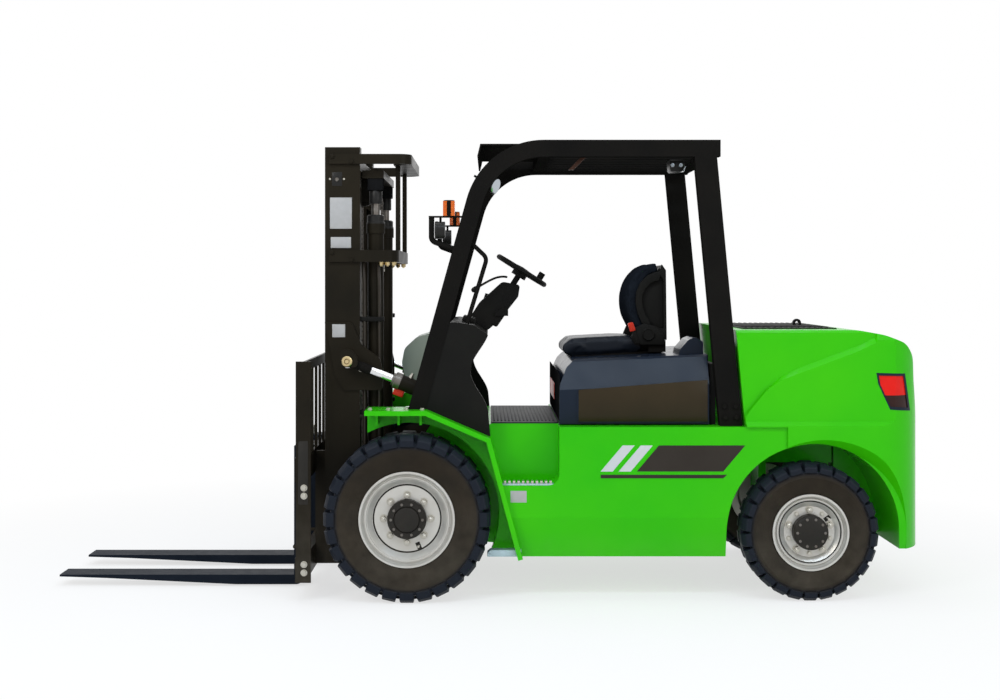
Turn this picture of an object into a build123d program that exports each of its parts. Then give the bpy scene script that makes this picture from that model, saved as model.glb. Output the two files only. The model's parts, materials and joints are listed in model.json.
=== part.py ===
from build123d import *
import os
from math import cos, hypot, radians, sin

# Counterbalanced forklift truck of the five-tonne class, with a two-stage mast, a lithium battery
# under the seat hood and a four-post overhead guard.
# Millimetres. X points forwards along the forks, Y to the driver's left, Z up from the floor.
# The origin is on the floor, under the middle of the overall length.
# Stations along the truck, called u, are measured forwards from the front axle.

# Overall length
WHEELBASE = 2000.0
FORK_LENGTH = 1220.0
LOAD_DISTANCE = 610.0  # front axle to the forks' front face
REAR_OVERHANG = 590.0  # rear axle to the back of the counterweight
FRONT_X = (WHEELBASE + REAR_OVERHANG - FORK_LENGTH - LOAD_DISTANCE) / 2

# Clearances
RUNNING_GAP = 0.05  # radial, of a shaft in its bearing
SEAT_GAP = 0.3  # between pieces fitted together
MOVING_GAP = 6.0  # between pieces that move past each other
MAST_CLEAR = 20.0  # mast to tyre

# Tyres and wheels
FRONT_TYRE_R = 413.0
FRONT_TYRE_W = 295.0
FRONT_OUTSIDE = 1480.0  # over the front tyres
FRONT_RIM_R = 237.0
FRONT_HUB_R = 95.0
REAR_TYRE_R = 341.0
REAR_TYRE_W = 190.0
REAR_OUTSIDE = 1380.0
REAR_RIM_R = 190.0
REAR_HUB_R = 84.0
FRONT_LUGS = 28
REAR_LUGS = 26
LUG_HEIGHT = 46.0
LUG_SLOT = 15.0
LUG_SLOT_DEPTH = 34.0
HUB_INSET = 14.0  # front hub caps stand in from the tyres by this much
SPINDLE_R = 45.0
STUB_R = 34.0
FRONT_WHEEL_Y = (FRONT_OUTSIDE - FRONT_TYRE_W) / 2
REAR_WHEEL_Y = (REAR_OUTSIDE - REAR_TYRE_W) / 2
FRONT_INNER_Y = FRONT_OUTSIDE / 2 - FRONT_TYRE_W

# Axles
AXLE_TUBE_R = 85.0
DRUM_R = 150.0
KINGPIN_R = 22.0
KNUCKLE_R = 48.0
KNUCKLE_HALF = 66.0
TRUNNION_R = 45.0
KINGPIN_Y = REAR_OUTSIDE / 2 - REAR_TYRE_W - 10

# Chassis
BODY_W = 1300.0
DECK_Z = 861.0
BELLY_Z = 210.0
PLATE = 20.0
STEP_DEPTH = 175.0
STEP_WALL = 25.0  # behind the step
STEP_Z = 570.0
FOLD_Z = 410.0  # below it the side walls lean in
FOLD_IN = 42.0
ARCH_CLEAR = 94.0  # round the rear tyre
ARCH_SHIFT = 24.0  # the arch stands behind the axle by this much
FENDER_CLEAR = 118.0  # over the front tyre
FENDER_PLATE = 24.0
CHEEK_T = 65.0  # plates inside the fenders
CHEEK_IN = FRONT_INNER_Y + 5
CHEEK_OUT = CHEEK_IN + CHEEK_T
TANK_IN = BODY_W / 2 - STEP_DEPTH - STEP_WALL
ARCH_R = REAR_TYRE_R + ARCH_CLEAR
FENDER_Z = 2 * FRONT_TYRE_R + FENDER_CLEAR
FENDER = [(212, FENDER_Z), (-95, FENDER_Z), (-412, FENDER_Z - 137), (-573, BELLY_Z)]
FENDER_Y = (CHEEK_OUT, FRONT_OUTSIDE / 2 - 50)
SPLIT_U = 110 - WHEELBASE  # where the deck ends and the counterweight starts
BULKHEAD_U = 410 - WHEELBASE

# Counterweight
WEIGHT_W = 1330.0
WEIGHT_TOP_Z = 1342.0
WEIGHT_BOTTOM_Z = 248.0
WEIGHT_CORNER_R = 260.0
COVER_W = 860.0
WEIGHT_STEP = 20.0  # the upper half stands in by this much
RECESS = 24.0
WEB_HALF = 140.0  # web between the wheel arches
LENS_DEPTH = 28.0
BEZEL = 14.0
WEIGHT_BACK = -WHEELBASE - REAR_OVERHANG

# Mast
MAST_FRONT = 438.0
RAIL_DEPTH = 180.0
RAIL_WEB = 20.0
RAIL_FLANGE_W = 80.0
RAIL_FLANGE = 25.0
RAIL_BOTTOM_Z = 150.0
RAIL_TOP_Z = 2240.0
INNER_FLANGE = 22.0
INNER_RAIL_W = 95.0
BAND_T = 16.0
BARREL_R = 42.0
ROD_R = 22.0
CHAIN_W = 36.0
CHAIN_T = 14.0
SHEAVE_R = 47.0
MAST_HALF = FRONT_INNER_Y - MAST_CLEAR
RAIL_BACK = MAST_FRONT - RAIL_DEPTH
INNER_FRONT = MAST_FRONT - RAIL_FLANGE - MOVING_GAP
INNER_BACK = RAIL_BACK + RAIL_FLANGE + MOVING_GAP
INNER_OUT = MAST_HALF - RAIL_WEB - 10
INNER_IN = INNER_OUT - INNER_RAIL_W
TIE_BACK = RAIL_BACK - 22  # rear face of the cross plates behind the rails
BARREL_U = TIE_BACK - BARREL_R - 9
BARREL_Y = MAST_HALF - 95
BARREL_BOTTOM_Z = RAIL_BOTTOM_Z + 30
BARREL_TOP_Z = RAIL_TOP_Z - 355
CHAIN_Y = MAST_HALF - 195
SHEAVE_U = INNER_BACK + 10 - SHEAVE_R
SHEAVE_Z = RAIL_TOP_Z - 210

# Tilt cylinders
TILT_BARREL_R = 40.0
TILT_ROD_R = 20.0
TILT_PIN_R = 15.0
TILT_EYE_R = 34.0
EYE_PLAY = 6.0  # room round the pin at the open end of the linkage
TILT_Y = MAST_HALF + 57
TILT_ANCHOR = (-300.0, FENDER_Z - 9)
TILT_PIN = (RAIL_BACK + 57, 1180.0)
BRACKET_TOP_Z = TILT_PIN[1] + 197
MIDDLE_Z = BRACKET_TOP_Z + 0.358 * (RAIL_TOP_Z - BRACKET_TOP_Z)  # band between the brackets and the top

# Carriage and forks
BAR_W = 1380.0
BAR_T = 50.0
BAR_LOW_Z = 95.0
BAR_HIGH_Z = 590.0
BAR_H = 122.0
BACKREST_TOP_Z = 1190.0
UPRIGHT_T = 16.0
SLATS = 8
FORK_W = 150.0
FORK_T = 50.0
FORK_Y = 258.0
FORK_Z = 10.0
SHANK_T = 55.0
BAR_FRONT = LOAD_DISTANCE - SHANK_T
BAR_BACK = BAR_FRONT - BAR_T

# Overhead guard
GUARD_TUBE_W = 60.0
GUARD_TUBE_D = 84.0
GUARD_TOP_Z = 2296.0
GUARD_BEND_R = 360.0
LEG_FOOT = -43.0
LEG_LEAN = 0.2776
POST_D = 112.0
POST_LEAN = 0.094  # forward lean of the rear posts
ROOF_FRONT = -660.0
ROOF_BARS = 7
GUARD_OUT = TILT_Y + 118
GUARD_IN = GUARD_OUT - GUARD_TUBE_W
GUARD_BACK = 434 - WHEELBASE
BEAM_Z = GUARD_TOP_Z - GUARD_TUBE_D
POST_FOOT = (325 - WHEELBASE, 325 - WHEELBASE + POST_D)

# Cowl, dash and steering
COWL_T = 40.0
COWL_Y = (GUARD_IN + 15, GUARD_IN + 15 + COWL_T)
DASH_Z = 1380.0
DASH_FRONT = -209.0
DASH_HALF = CHEEK_IN - 45
STEER_TILT = 32.0
STEER_U = -582.0
STEER_Z = 1645.0
STEER_R = 158.0
GRIP_R = 14.0
LAMP_R = 43.0
LAMP_Z = GUARD_TOP_Z - 385  # bar that carries the lamps

# Hood, seat and battery
HOOD_W = 1120.0
HOOD_TOP_Z = 1215.0
HOOD_WALL = 26.0
HOOD_SLOPE = 0.042  # its top falls towards the front
CASE_CLEAR = 104.0  # battery case to the hood's sides
HINGE_R = 6.0
HINGE_EYE_R = 13.0
SEAT_W = 470.0
HOOD_FRONT = 240 - WHEELBASE / 2
HOOD_BACK = 485 - WHEELBASE
HINGE_U = HOOD_BACK - 19
HINGE_Z = HOOD_TOP_Z - 20


def ahead(u):
    """X of a station u ahead of the front axle."""
    return FRONT_X + u


def side_wire(points):
    return Polyline(*[(ahead(u), z) for u, z in points], close=True)


def outline(*points):
    """Straight-sided outline in the side view, from (u, z) points."""
    return Plane.XZ * make_face(side_wire(points))


def rounded(points, radii):
    """Side-view outline with some corners rounded; radii maps a point's number to its radius."""
    face = make_face(side_wire(points))
    for number, radius in radii.items():
        u, z = points[number]
        corner = face.vertices().sort_by_distance((ahead(u), z))[0]
        face = fillet(corner, radius)
    return Plane.XZ * face


def curved(start, through, corners):
    """Side-view outline closed by a smooth curve from start through points, then straight corners."""
    places = [(ahead(u), z) for u, z in (start, *through)]
    rest = [places[-1], *[(ahead(u), z) for u, z in corners], places[0]]
    return Plane.XZ * make_face(Spline(*places) + Polyline(*rest))


def strip(points, thickness):
    """Outline of a plate bent along (u, z) points; it thickens to the left of the way it runs."""
    normals = []
    for (u0, z0), (u1, z1) in zip(points, points[1:]):
        run = hypot(u1 - u0, z1 - z0)
        normals.append(((z0 - z1) / run, (u1 - u0) / run))
    other_side = []
    for i, (u, z) in enumerate(points):
        before = normals[max(i - 1, 0)]
        after = normals[min(i, len(normals) - 1)]
        share = thickness / (1 + before[0] * after[0] + before[1] * after[1])
        other_side.append((u + (before[0] + after[0]) * share, z + (before[1] + after[1]) * share))
    return outline(*points, *reversed(other_side))


def across(face, low, high):
    """Side-view outline made solid from Y low to Y high."""
    return Pos(0, low, 0) * extrude(face, amount=high - low, dir=(0, 1, 0))


def lengthways(points, back, front):
    """Cross-section of (y, z) points made solid from one station to another."""
    face = Plane.YZ * make_face(Polyline(*points, close=True))
    return Pos(ahead(back), 0, 0) * extrude(face, amount=front - back, dir=(1, 0, 0))


def block(u, y, z):
    """Rectangular block from its (low, high) spans."""
    size = [high - low for low, high in (u, y, z)]
    return Pos(ahead(sum(u) / 2), sum(y) / 2, sum(z) / 2) * Box(*size)


def rod_x(y, z, radius, back, front):
    return Pos(ahead((back + front) / 2), y, z) * Rot(0, 90, 0) * Cylinder(radius, front - back)


def rod_y(u, z, radius, low, high):
    return Pos(ahead(u), (low + high) / 2, z) * Rot(90, 0, 0) * Cylinder(radius, high - low)


def rod_z(u, y, radius, low, high):
    return Pos(ahead(u), y, (low + high) / 2) * Cylinder(radius, high - low)


def bar_between(start, end, radius):
    """Round bar from one (u, y, z) point to another."""
    a = Vector(ahead(start[0]), start[1], start[2])
    b = Vector(ahead(end[0]), end[1], end[2])
    return Plane(origin=(a + b) / 2, z_dir=b - a) * Cylinder(radius, (b - a).length)


def pipe(points, radius, bend):
    """Round bar bent along (u, y, z) points."""
    path = FilletPolyline(*[(ahead(u), y, z) for u, y, z in points], radius=bend)
    return sweep(Plane(origin=path @ 0, z_dir=path % 0) * Circle(radius), path=path)


def turned(points):
    """Solid of revolution about the Y axis from (y, radius) points."""
    return revolve(Plane.YZ * make_face(Polyline(*points, close=True)), axis=Axis.Y)


def both(shape):
    """A left-hand piece and its mirror image on the right."""
    return [shape, mirror(shape, about=Plane.XZ)]


def write(name, *shapes):
    """One STEP file for a node, which may hold several separate solids."""
    solids = []
    for shape in shapes:
        solids.extend(shape.solids())
    export_step(Compound(children=solids), os.path.join("parts", name + ".step"))


def write_pair(name, shape):
    left, right = both(shape)
    write(name + "_left", left)
    write(name + "_right", right)


# Wheels are built about the Y axis with their outside at +Y, then set in place.
def tyre(radius, width, rim_r, lugs):
    """Tyre whose tread is flat-topped lugs, cut apart by slots that run out through the shoulders."""
    half = width / 2
    wall = radius - LUG_HEIGHT
    bore = rim_r + SEAT_GAP
    bulge = bore + 0.35 * (wall - bore)
    turn = 180 / lugs - 90
    top = RegularPolygon(radius, lugs, major_radius=False, rotation=turn)
    edge = RegularPolygon(radius - 20, lugs, major_radius=False, rotation=turn)
    shoulder = half - 30
    side = loft([Pos(0, 0, shoulder) * top, Pos(0, 0, half) * edge], ruled=True)
    tread = Pos(0, 0, -shoulder) * extrude(top, amount=2 * shoulder) + side + mirror(side, about=Plane.XY)
    slot = Pos(radius, 0, half) * Box(2 * LUG_SLOT_DEPTH, LUG_SLOT, 1.3 * half)
    slots = [Rot(0, 0, turn + i * 360 / lugs) * slot for i in range(lugs)]
    tread -= slots + [mirror(cut, about=Plane.XY) for cut in slots]
    tread = Rot(90, 0, 0) * tread - turned([(-half - 5, 0), (-half - 5, wall), (half + 5, wall), (half + 5, 0)])
    body = turned([(16 - half, bore), (-half, bulge), (-half, wall + 2), (half, wall + 2), (half, bulge),
                   (half - 16, bore)])
    return body + tread


def rim(width, rim_r, disc_y, hub_r, hub_y, bore_r):
    edge = width / 2 - 8
    inside = rim_r - 40
    return turned([
        (disc_y - 18, bore_r + RUNNING_GAP), (hub_y - 14, bore_r + RUNNING_GAP), (hub_y - 14, 0),
        (hub_y, 0), (hub_y, hub_r - 12), (hub_y - 12, hub_r), (disc_y, hub_r),
        (disc_y, inside - 24), (edge - 24, inside), (edge - 24, rim_r - 22), (edge, rim_r - 10), (edge, rim_r),
        (-edge, rim_r), (-edge, inside), (disc_y - 40, inside), (disc_y - 18, inside - 30),
    ])


def wheels():
    front = Pos(FRONT_X, FRONT_WHEEL_Y, FRONT_TYRE_R)
    rear = Pos(ahead(-WHEELBASE), REAR_WHEEL_Y, REAR_TYRE_R)
    write_pair("front_tyre", front * tyre(FRONT_TYRE_R, FRONT_TYRE_W, FRONT_RIM_R, FRONT_LUGS))
    write_pair("front_rim", front * rim(FRONT_TYRE_W, FRONT_RIM_R, FRONT_TYRE_W / 2 - 55, FRONT_HUB_R,
                                        FRONT_TYRE_W / 2 - HUB_INSET, SPINDLE_R))
    write_pair("rear_tyre", rear * tyre(REAR_TYRE_R, REAR_TYRE_W, REAR_RIM_R, REAR_LUGS))
    write_pair("rear_rim", rear * rim(REAR_TYRE_W, REAR_RIM_R, REAR_TYRE_W / 2 - 50, REAR_HUB_R,
                                      REAR_TYRE_W / 2, STUB_R))


# Axles
def drive_axle():
    drum_end = FRONT_WHEEL_Y + 40
    spindle_end = FRONT_OUTSIDE / 2 - HUB_INSET - 16
    half = [
        (0, 0), (0, 185), (95, 185), (140, 150), (165, AXLE_TUBE_R), (FRONT_INNER_Y - 25, AXLE_TUBE_R),
        (FRONT_INNER_Y - 5, DRUM_R), (drum_end, DRUM_R), (drum_end, SPINDLE_R), (spindle_end, SPINDLE_R),
        (spindle_end, 0),
    ]
    solid = turned(half) + turned([(-y, r) for y, r in half])
    write("drive_axle", Pos(FRONT_X, 0, FRONT_TYRE_R) * solid)


def steer_axle():
    u, z = -WHEELBASE, REAR_TYRE_R
    end = KINGPIN_Y - 92
    fork = KNUCKLE_HALF + 2
    top = fork + 44
    solid = block((u - 52, u + 52), (-end, end), (z - 60, z + 60))
    solid += block((u - 95, u + 95), (-170, 170), (z - 78, z + 78))
    solid += rod_x(0, z, TRUNNION_R, u - 234, u + 160)
    solid += rod_y(u - 135, z, 36, -150, 150) + block((u - 135, u - 90), (-120, 120), (z - 30, z + 30))
    jaw = block((u - 34, u + 34), (end - 2, end + 26), (z - top, z + top))
    for low, high in ((z - top, z - fork), (z + fork, z + top)):
        jaw += block((u - 34, u + 34), (end - 2, KINGPIN_Y), (low, high))
        jaw += rod_z(u, KINGPIN_Y, KNUCKLE_R, low, high)
    jaw += rod_z(u, KINGPIN_Y, KINGPIN_R, z - top, z + top)
    write("steer_axle", solid + both(jaw))


def knuckles():
    u, z = -WHEELBASE, REAR_TYRE_R
    body = rod_z(u, KINGPIN_Y, KNUCKLE_R, z - KNUCKLE_HALF, z + KNUCKLE_HALF)
    body += rod_y(u, z, 52, KINGPIN_Y, REAR_OUTSIDE / 2 - 74)
    body += rod_y(u, z, STUB_R, KINGPIN_Y, REAR_OUTSIDE / 2 - 16)
    body -= rod_z(u, KINGPIN_Y, KINGPIN_R + RUNNING_GAP, z - KNUCKLE_HALF - 1, z + KNUCKLE_HALF + 1)
    write_pair("knuckle", body)


# Chassis
def wheel_tunnel():
    """Space the steered wheels turn in, right through from side to side."""
    u = -WHEELBASE - ARCH_SHIFT
    round_top = rod_y(u, REAR_TYRE_R, ARCH_R, -BODY_W, BODY_W)
    return round_top + block((u - ARCH_R, u + ARCH_R), (-BODY_W, BODY_W), (-50, REAR_TYRE_R))


def post_beam(gap=0.0):
    """Cross-beam under the rear posts of the guard."""
    return block((POST_FOOT[0] - 8 - gap, POST_FOOT[1] + 8 + gap), (-GUARD_OUT - gap, GUARD_OUT + gap),
                 (DECK_Z - 60 - gap, DECK_Z + gap))


def side_panels():
    half = BODY_W / 2
    slope = FENDER[2][0]
    wall = across(outline(FENDER[2], (slope, DECK_Z), (SPLIT_U, DECK_Z), (SPLIT_U, BELLY_Z), FENDER[3]),
                  TANK_IN, half)
    wall -= wheel_tunnel()
    step = rounded([(slope + 20, DECK_Z + 9), (HOOD_FRONT + 4, DECK_Z + 9), (HOOD_FRONT + 4, STEP_Z),
                    (slope + 20, STEP_Z)], {2: 60})
    wall -= across(step, TANK_IN + STEP_WALL, half + 10)
    wall -= lengthways([(half, FOLD_Z), (half + 10, FOLD_Z), (half + 10, BELLY_Z - 10),
                        (half - FOLD_IN, BELLY_Z - 10)], SPLIT_U - 10, slope + 10)
    write("side_panels", *both(wall - post_beam(SEAT_GAP)))


def fenders():
    plate = across(strip(FENDER, FENDER_PLATE), *FENDER_Y)
    for u in (150, 40, -70):
        rib = outline((u, FENDER_Z - 9), (u + 12, FENDER_Z - 9), (u + 12, FENDER_Z - 74), (u, FENDER_Z - 74))
        plate += across(rib, FENDER_Y[0], FENDER_Y[0] + 120)
    write("fenders", *both(plate))


def frame():
    tail = BULKHEAD_U + PLATE
    front, slope_z = FENDER[2]
    foot = FENDER[3][0]
    toe = foot + (front - foot) * PLATE / (slope_z - BELLY_Z)
    floor = outline((BULKHEAD_U, BELLY_Z), (foot, BELLY_Z), (toe, BELLY_Z + PLATE), (BULKHEAD_U, BELLY_Z + PLATE))
    solid = across(floor, -TANK_IN, TANK_IN)
    solid += across(strip([(front, DECK_Z), FENDER[2], FENDER[3]], PLATE), -CHEEK_OUT, CHEEK_OUT)
    solid += block((HOOD_FRONT, front), (-TANK_IN, TANK_IN), (DECK_Z - PLATE, DECK_Z))
    solid += block((front - 1, DASH_FRONT), (-DASH_HALF, DASH_HALF), (DECK_Z - PLATE, DECK_Z))
    solid += block((BULKHEAD_U, tail), (-TANK_IN, TANK_IN), (BELLY_Z, DECK_Z))
    solid += block((SPLIT_U, tail), (-TANK_IN, TANK_IN), (DECK_Z - 60, DECK_Z))
    solid += post_beam()
    solid += block((-WHEELBASE - 235, tail), (-140, 140), (DECK_Z - 241, DECK_Z))
    for u in (130 - WHEELBASE, -205 - WHEELBASE):
        solid += block((u - 20, u + 20), (-110, 110), (REAR_TYRE_R - 90, DECK_Z - 221))
    solid -= rod_x(0, REAR_TYRE_R, TRUNNION_R + SEAT_GAP, -WHEELBASE - 300, 300 - WHEELBASE)
    horn = outline((foot + 13, BELLY_Z + 5), FENDER[2], (front, DECK_Z - 11), (-120, DECK_Z - 11),
                   (60, FRONT_TYRE_R + 147), (100, FRONT_TYRE_R + 87), (100, FRONT_TYRE_R - 83),
                   (-60, FRONT_TYRE_R - 158))
    left = across(horn, CHEEK_IN - 160, CHEEK_IN - 130)
    left -= rod_y(0, FRONT_TYRE_R, AXLE_TUBE_R + SEAT_GAP, 0, CHEEK_IN)
    cheek = across(outline(*FENDER, (-440, BELLY_Z), (212, FENDER_Z - 244)), CHEEK_IN, CHEEK_OUT)
    cheek -= rod_y(0, FRONT_TYRE_R, FRONT_TYRE_R + 44, 0, FRONT_OUTSIDE)
    cheek -= block((-600, 300), (0, FRONT_OUTSIDE), (0, FRONT_TYRE_R - 200))
    u, z = TILT_ANCHOR
    ear = outline((u - 50, z - 100), (u - 46, z - 20), (u - 24, z + 30), (u + 24, z + 30), (u + 40, z - 20),
                  (u + 48, z - 80))
    for y in (TILT_Y - 29, TILT_Y + 15):
        cheek += across(ear, y, y + 14)
    cheek += rod_y(u, z, TILT_PIN_R, TILT_Y - 30, TILT_Y + 30)
    write("frame", solid + both(left) + both(cheek))


# Counterweight
def weight_front(z):
    """Front face of the counterweight, which leans with the posts."""
    return POST_FOOT[0] - 11 + POST_LEAN * (z - DECK_Z)


def weight_form(inset=0.0):
    """Cast body before its cut-outs, drawn in by inset at the sides and the back."""
    half = WEIGHT_W / 2 - inset
    upper = half - WEIGHT_STEP
    back = WEIGHT_BACK + inset
    top = WEIGHT_TOP_Z
    side = rounded([
        (weight_front(DECK_Z), DECK_Z), (weight_front(top), top), (back + 338, top), (back + 208, top - 24),
        (back + 94, top - 68), (back + 47, top - 133), (back + 40, top - 260), (back, DECK_Z - 60),
        (back + 12, WEIGHT_BOTTOM_Z), (SPLIT_U, WEIGHT_BOTTOM_Z), (SPLIT_U, DECK_Z)], {2: 300, 3: 300, 4: 110, 5: 110})
    plan = Pos(ahead(back + 800), 0, 0) * Rectangle(1600, 2 * half)
    plan = fillet(plan.vertices().group_by(Axis.X)[0], WEIGHT_CORNER_R - inset)
    section = [(-half, 0), (half, 0), (half, DECK_Z + 7), (upper, DECK_Z + 27), (upper, top - 50),
               (upper - 12, top - 22), (upper - 40, top + 1)]
    section += [(-y, z) for y, z in reversed(section[2:])]
    body = across(side, -half, half) & extrude(plan, amount=2 * top)
    return body & lengthways(section, back - 50, back + 1600)


def weight_recess():
    """Cut that leaves the raised crease, sloping from the skin down to the recess."""
    floor_y = WEIGHT_W / 2 - WEIGHT_STEP - RECESS
    top = WEIGHT_TOP_Z + 60
    line = [(weight_front(DECK_Z) + 6, DECK_Z + 30), (248 - WHEELBASE, DECK_Z + 124), (188 - WHEELBASE, DECK_Z + 204),
            (132 - WHEELBASE, DECK_Z + 253), (50 - WHEELBASE, DECK_Z + 291), (-110 - WHEELBASE, DECK_Z + 351),
            (-259 - WHEELBASE, DECK_Z + 407), (-330 - WHEELBASE, DECK_Z + 444), (-360 - WHEELBASE, top),
            (weight_front(top) + 60, top)]
    shift = [(30, -22), (30, -20), (26, -23), (18, -27), (10, -29), (9, -29), (8, -28), (-4, -26), (-20, 0), (30, 0)]
    inner = outline(*line)
    outer = outline(*[(u + du, z + dz) for (u, z), (du, dz) in zip(line, shift)])
    return loft([Pos(0, floor_y, 0) * inner, Pos(0, floor_y + RECESS + 1, 0) * outer], ruled=True)


def arch_flare():
    """Cone that bevels the edge of the wheel arch."""
    edge = WEIGHT_W / 2
    return Pos(ahead(-WHEELBASE - 75), 0, REAR_TYRE_R - 11) * turned([
        (edge - 60, 0), (edge - 60, ARCH_R - 15), (edge + 6, ARCH_R + 38), (edge + 6, 0)])


def counterweight():
    b = WEIGHT_BACK
    lamp = [(b + 257, 1131), (b + 104, 1126), (b + 69, 937), (b + 188, 947), (b + 248, 1076)]
    middle = (sum(u for u, z in lamp) / 5, sum(z for u, z in lamp) / 5)
    lens = [(u + (middle[0] - u) * BEZEL / 90, z + (middle[1] - z) * BEZEL / 90) for u, z in lamp]
    reach = (WEIGHT_W / 2 - WEIGHT_CORNER_R - 100, WEIGHT_W)
    form, pocket = weight_form(), weight_form(LENS_DEPTH)
    lamp_zone = across(outline(*lamp), *reach)
    lens_zone = across(outline(*lens), *reach)
    web = block((b, -245 - WHEELBASE), (-WEB_HALF, WEB_HALF), (WEIGHT_BOTTOM_Z, DECK_Z))
    body = form - (wheel_tunnel() - web) - both(weight_recess()) - both(arch_flare())
    body -= both(lamp_zone - pocket)
    body -= block((-245 - WHEELBASE, 150 - WHEELBASE), (-146, 146), (0, DECK_Z + 8))
    cover = block((-190 - WHEELBASE, 290 - WHEELBASE), (-COVER_W / 2, COVER_W / 2),
                  (WEIGHT_TOP_Z - 25, WEIGHT_TOP_Z + 5))
    body -= cover
    hitch = (FRONT_TYRE_R + 17, FRONT_TYRE_R + 127)
    pin_u = b + 55
    body -= block((b - 10, b + 110), (-70, 70), hitch)
    body -= rod_z(pin_u, 0, 16 + SEAT_GAP, hitch[0] - 40, hitch[1] + 60) + rod_z(pin_u, 0, 30, hitch[1], hitch[1] + 60)
    write("counterweight", body)
    write("tow_pin", rod_z(pin_u, 0, 16, hitch[0] - 40, hitch[1] + 20) + rod_z(pin_u, 0, 26, hitch[1] + 4, hitch[1] + 20))
    eye_u, eye_z = -80 - WHEELBASE, WEIGHT_TOP_Z + 19
    cover += block((eye_u - 22, eye_u + 22), (-12, 12), (WEIGHT_TOP_Z, eye_z)) + rod_y(eye_u, eye_z, 22, -12, 12)
    write("counterweight_cover", cover - rod_y(eye_u, eye_z, 9, -20, 20))
    ring = (form & lamp_zone) - pocket
    write("tail_bezels", *both(ring - lens_zone))
    write("tail_lamps", *both((weight_form(4) & lens_zone) - pocket))


# Overhead guard
def leg_u(z):
    """Middle line of a front leg at a height."""
    return LEG_FOOT - LEG_LEAN * (z - FENDER_Z)


def leg_face(z, side):
    """Front (+1) or rear (-1) face of a front leg at a height."""
    return leg_u(z) + side * GUARD_TUBE_D / 2 * hypot(1, LEG_LEAN)


def guard_leg():
    y = (GUARD_OUT + GUARD_IN) / 2
    roof_z = GUARD_TOP_Z - GUARD_TUBE_D / 2
    low = FENDER_Z - 60
    path = FilletPolyline((ahead(leg_u(low)), y, low), (ahead(leg_u(roof_z)), y, roof_z),
                          (ahead(GUARD_BACK), y, roof_z), radius=GUARD_BEND_R)
    start = Plane(origin=path @ 0, x_dir=(0, 1, 0), z_dir=path % 0)
    leg = sweep(start * Rectangle(GUARD_TUBE_W, GUARD_TUBE_D), path=path)
    return leg - block((-600, 400), (0, FRONT_OUTSIDE), (0, FENDER_Z))


def guard():
    write("guard_legs", *both(guard_leg()))
    lean = POST_LEAN * (BEAM_Z - DECK_Z)
    post = outline((POST_FOOT[0], DECK_Z), (POST_FOOT[1], DECK_Z), (POST_FOOT[1] + lean, BEAM_Z),
                   (POST_FOOT[0] + lean, BEAM_Z))
    write("guard_posts", *both(across(post, GUARD_IN, GUARD_OUT)))
    roof = block((ROOF_FRONT - 60, ROOF_FRONT), (-GUARD_IN, GUARD_IN), (BEAM_Z + 12, GUARD_TOP_Z - 12))
    roof += block((GUARD_BACK, GUARD_BACK + 60), (-GUARD_IN, GUARD_IN), (BEAM_Z + 4, GUARD_TOP_Z - 4))
    pitch = (2 * GUARD_IN - 180) / (ROOF_BARS - 1)
    for i in range(ROOF_BARS):
        y = (i - (ROOF_BARS - 1) / 2) * pitch
        roof += block((GUARD_BACK + 56, ROOF_FRONT - 40), (y - 14, y + 14), (GUARD_TOP_Z - 60, GUARD_TOP_Z - 6))
    edge = ROOF_FRONT + 315
    visor = strip([(edge, GUARD_TOP_Z - 70), (edge - 15, GUARD_TOP_Z - 8), (ROOF_FRONT - 40, GUARD_TOP_Z - 8)], 8)
    write("guard_roof", roof + across(visor, 60 - GUARD_IN, GUARD_IN - 60))


# Cowl, dash and controls
def dash_top():
    z = DASH_Z
    return across(outline((DASH_FRONT, z - 45), (DASH_FRONT, z - 1), (-234, z + 1), (-329, z - 14), (-398, z - 63),
                          (-384, z - 83), (-322, z - 42), (-240, z - 30)), -COWL_Y[0], COWL_Y[0])


def cowl():
    z = DASH_Z
    side = curved((-400, z - 64), [(-350, z - 150), (-312, z - 241), (-319, z - 281), (-350, z - 341),
                                   (-400, z - 442)],
                  [FENDER[2], FENDER[1], (leg_face(FENDER_Z, -1), FENDER_Z), (leg_face(z - 1, -1), z - 1),
                   (-234, z + 1), (-329, z - 14)])
    write("cowl_panels", *both(across(side, *COWL_Y)))
    dash = dash_top() + block((DASH_FRONT - 20, DASH_FRONT), (-DASH_HALF, DASH_HALF), (DECK_Z, z - 35))
    write("dashboard", dash)
    cover = rounded([(DASH_FRONT, z - 370), (DASH_FRONT, z - 45), (-120, z - 62), (-20, z - 90), (45, z - 150),
                     (60, z - 230), (30, z - 340), (-60, z - 370)], {3: 60, 4: 60, 5: 60, 6: 50})
    write("front_cover", across(cover, -170, 170))


def column_plane(distance):
    """Plane square to the steering axis, so far below the middle of the wheel."""
    a = radians(STEER_TILT)
    origin = (ahead(STEER_U + distance * sin(a)), 0, STEER_Z - distance * cos(a))
    return Plane(origin=origin, x_dir=(cos(a), 0, sin(a)), z_dir=(-sin(a), 0, cos(a)))


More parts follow.
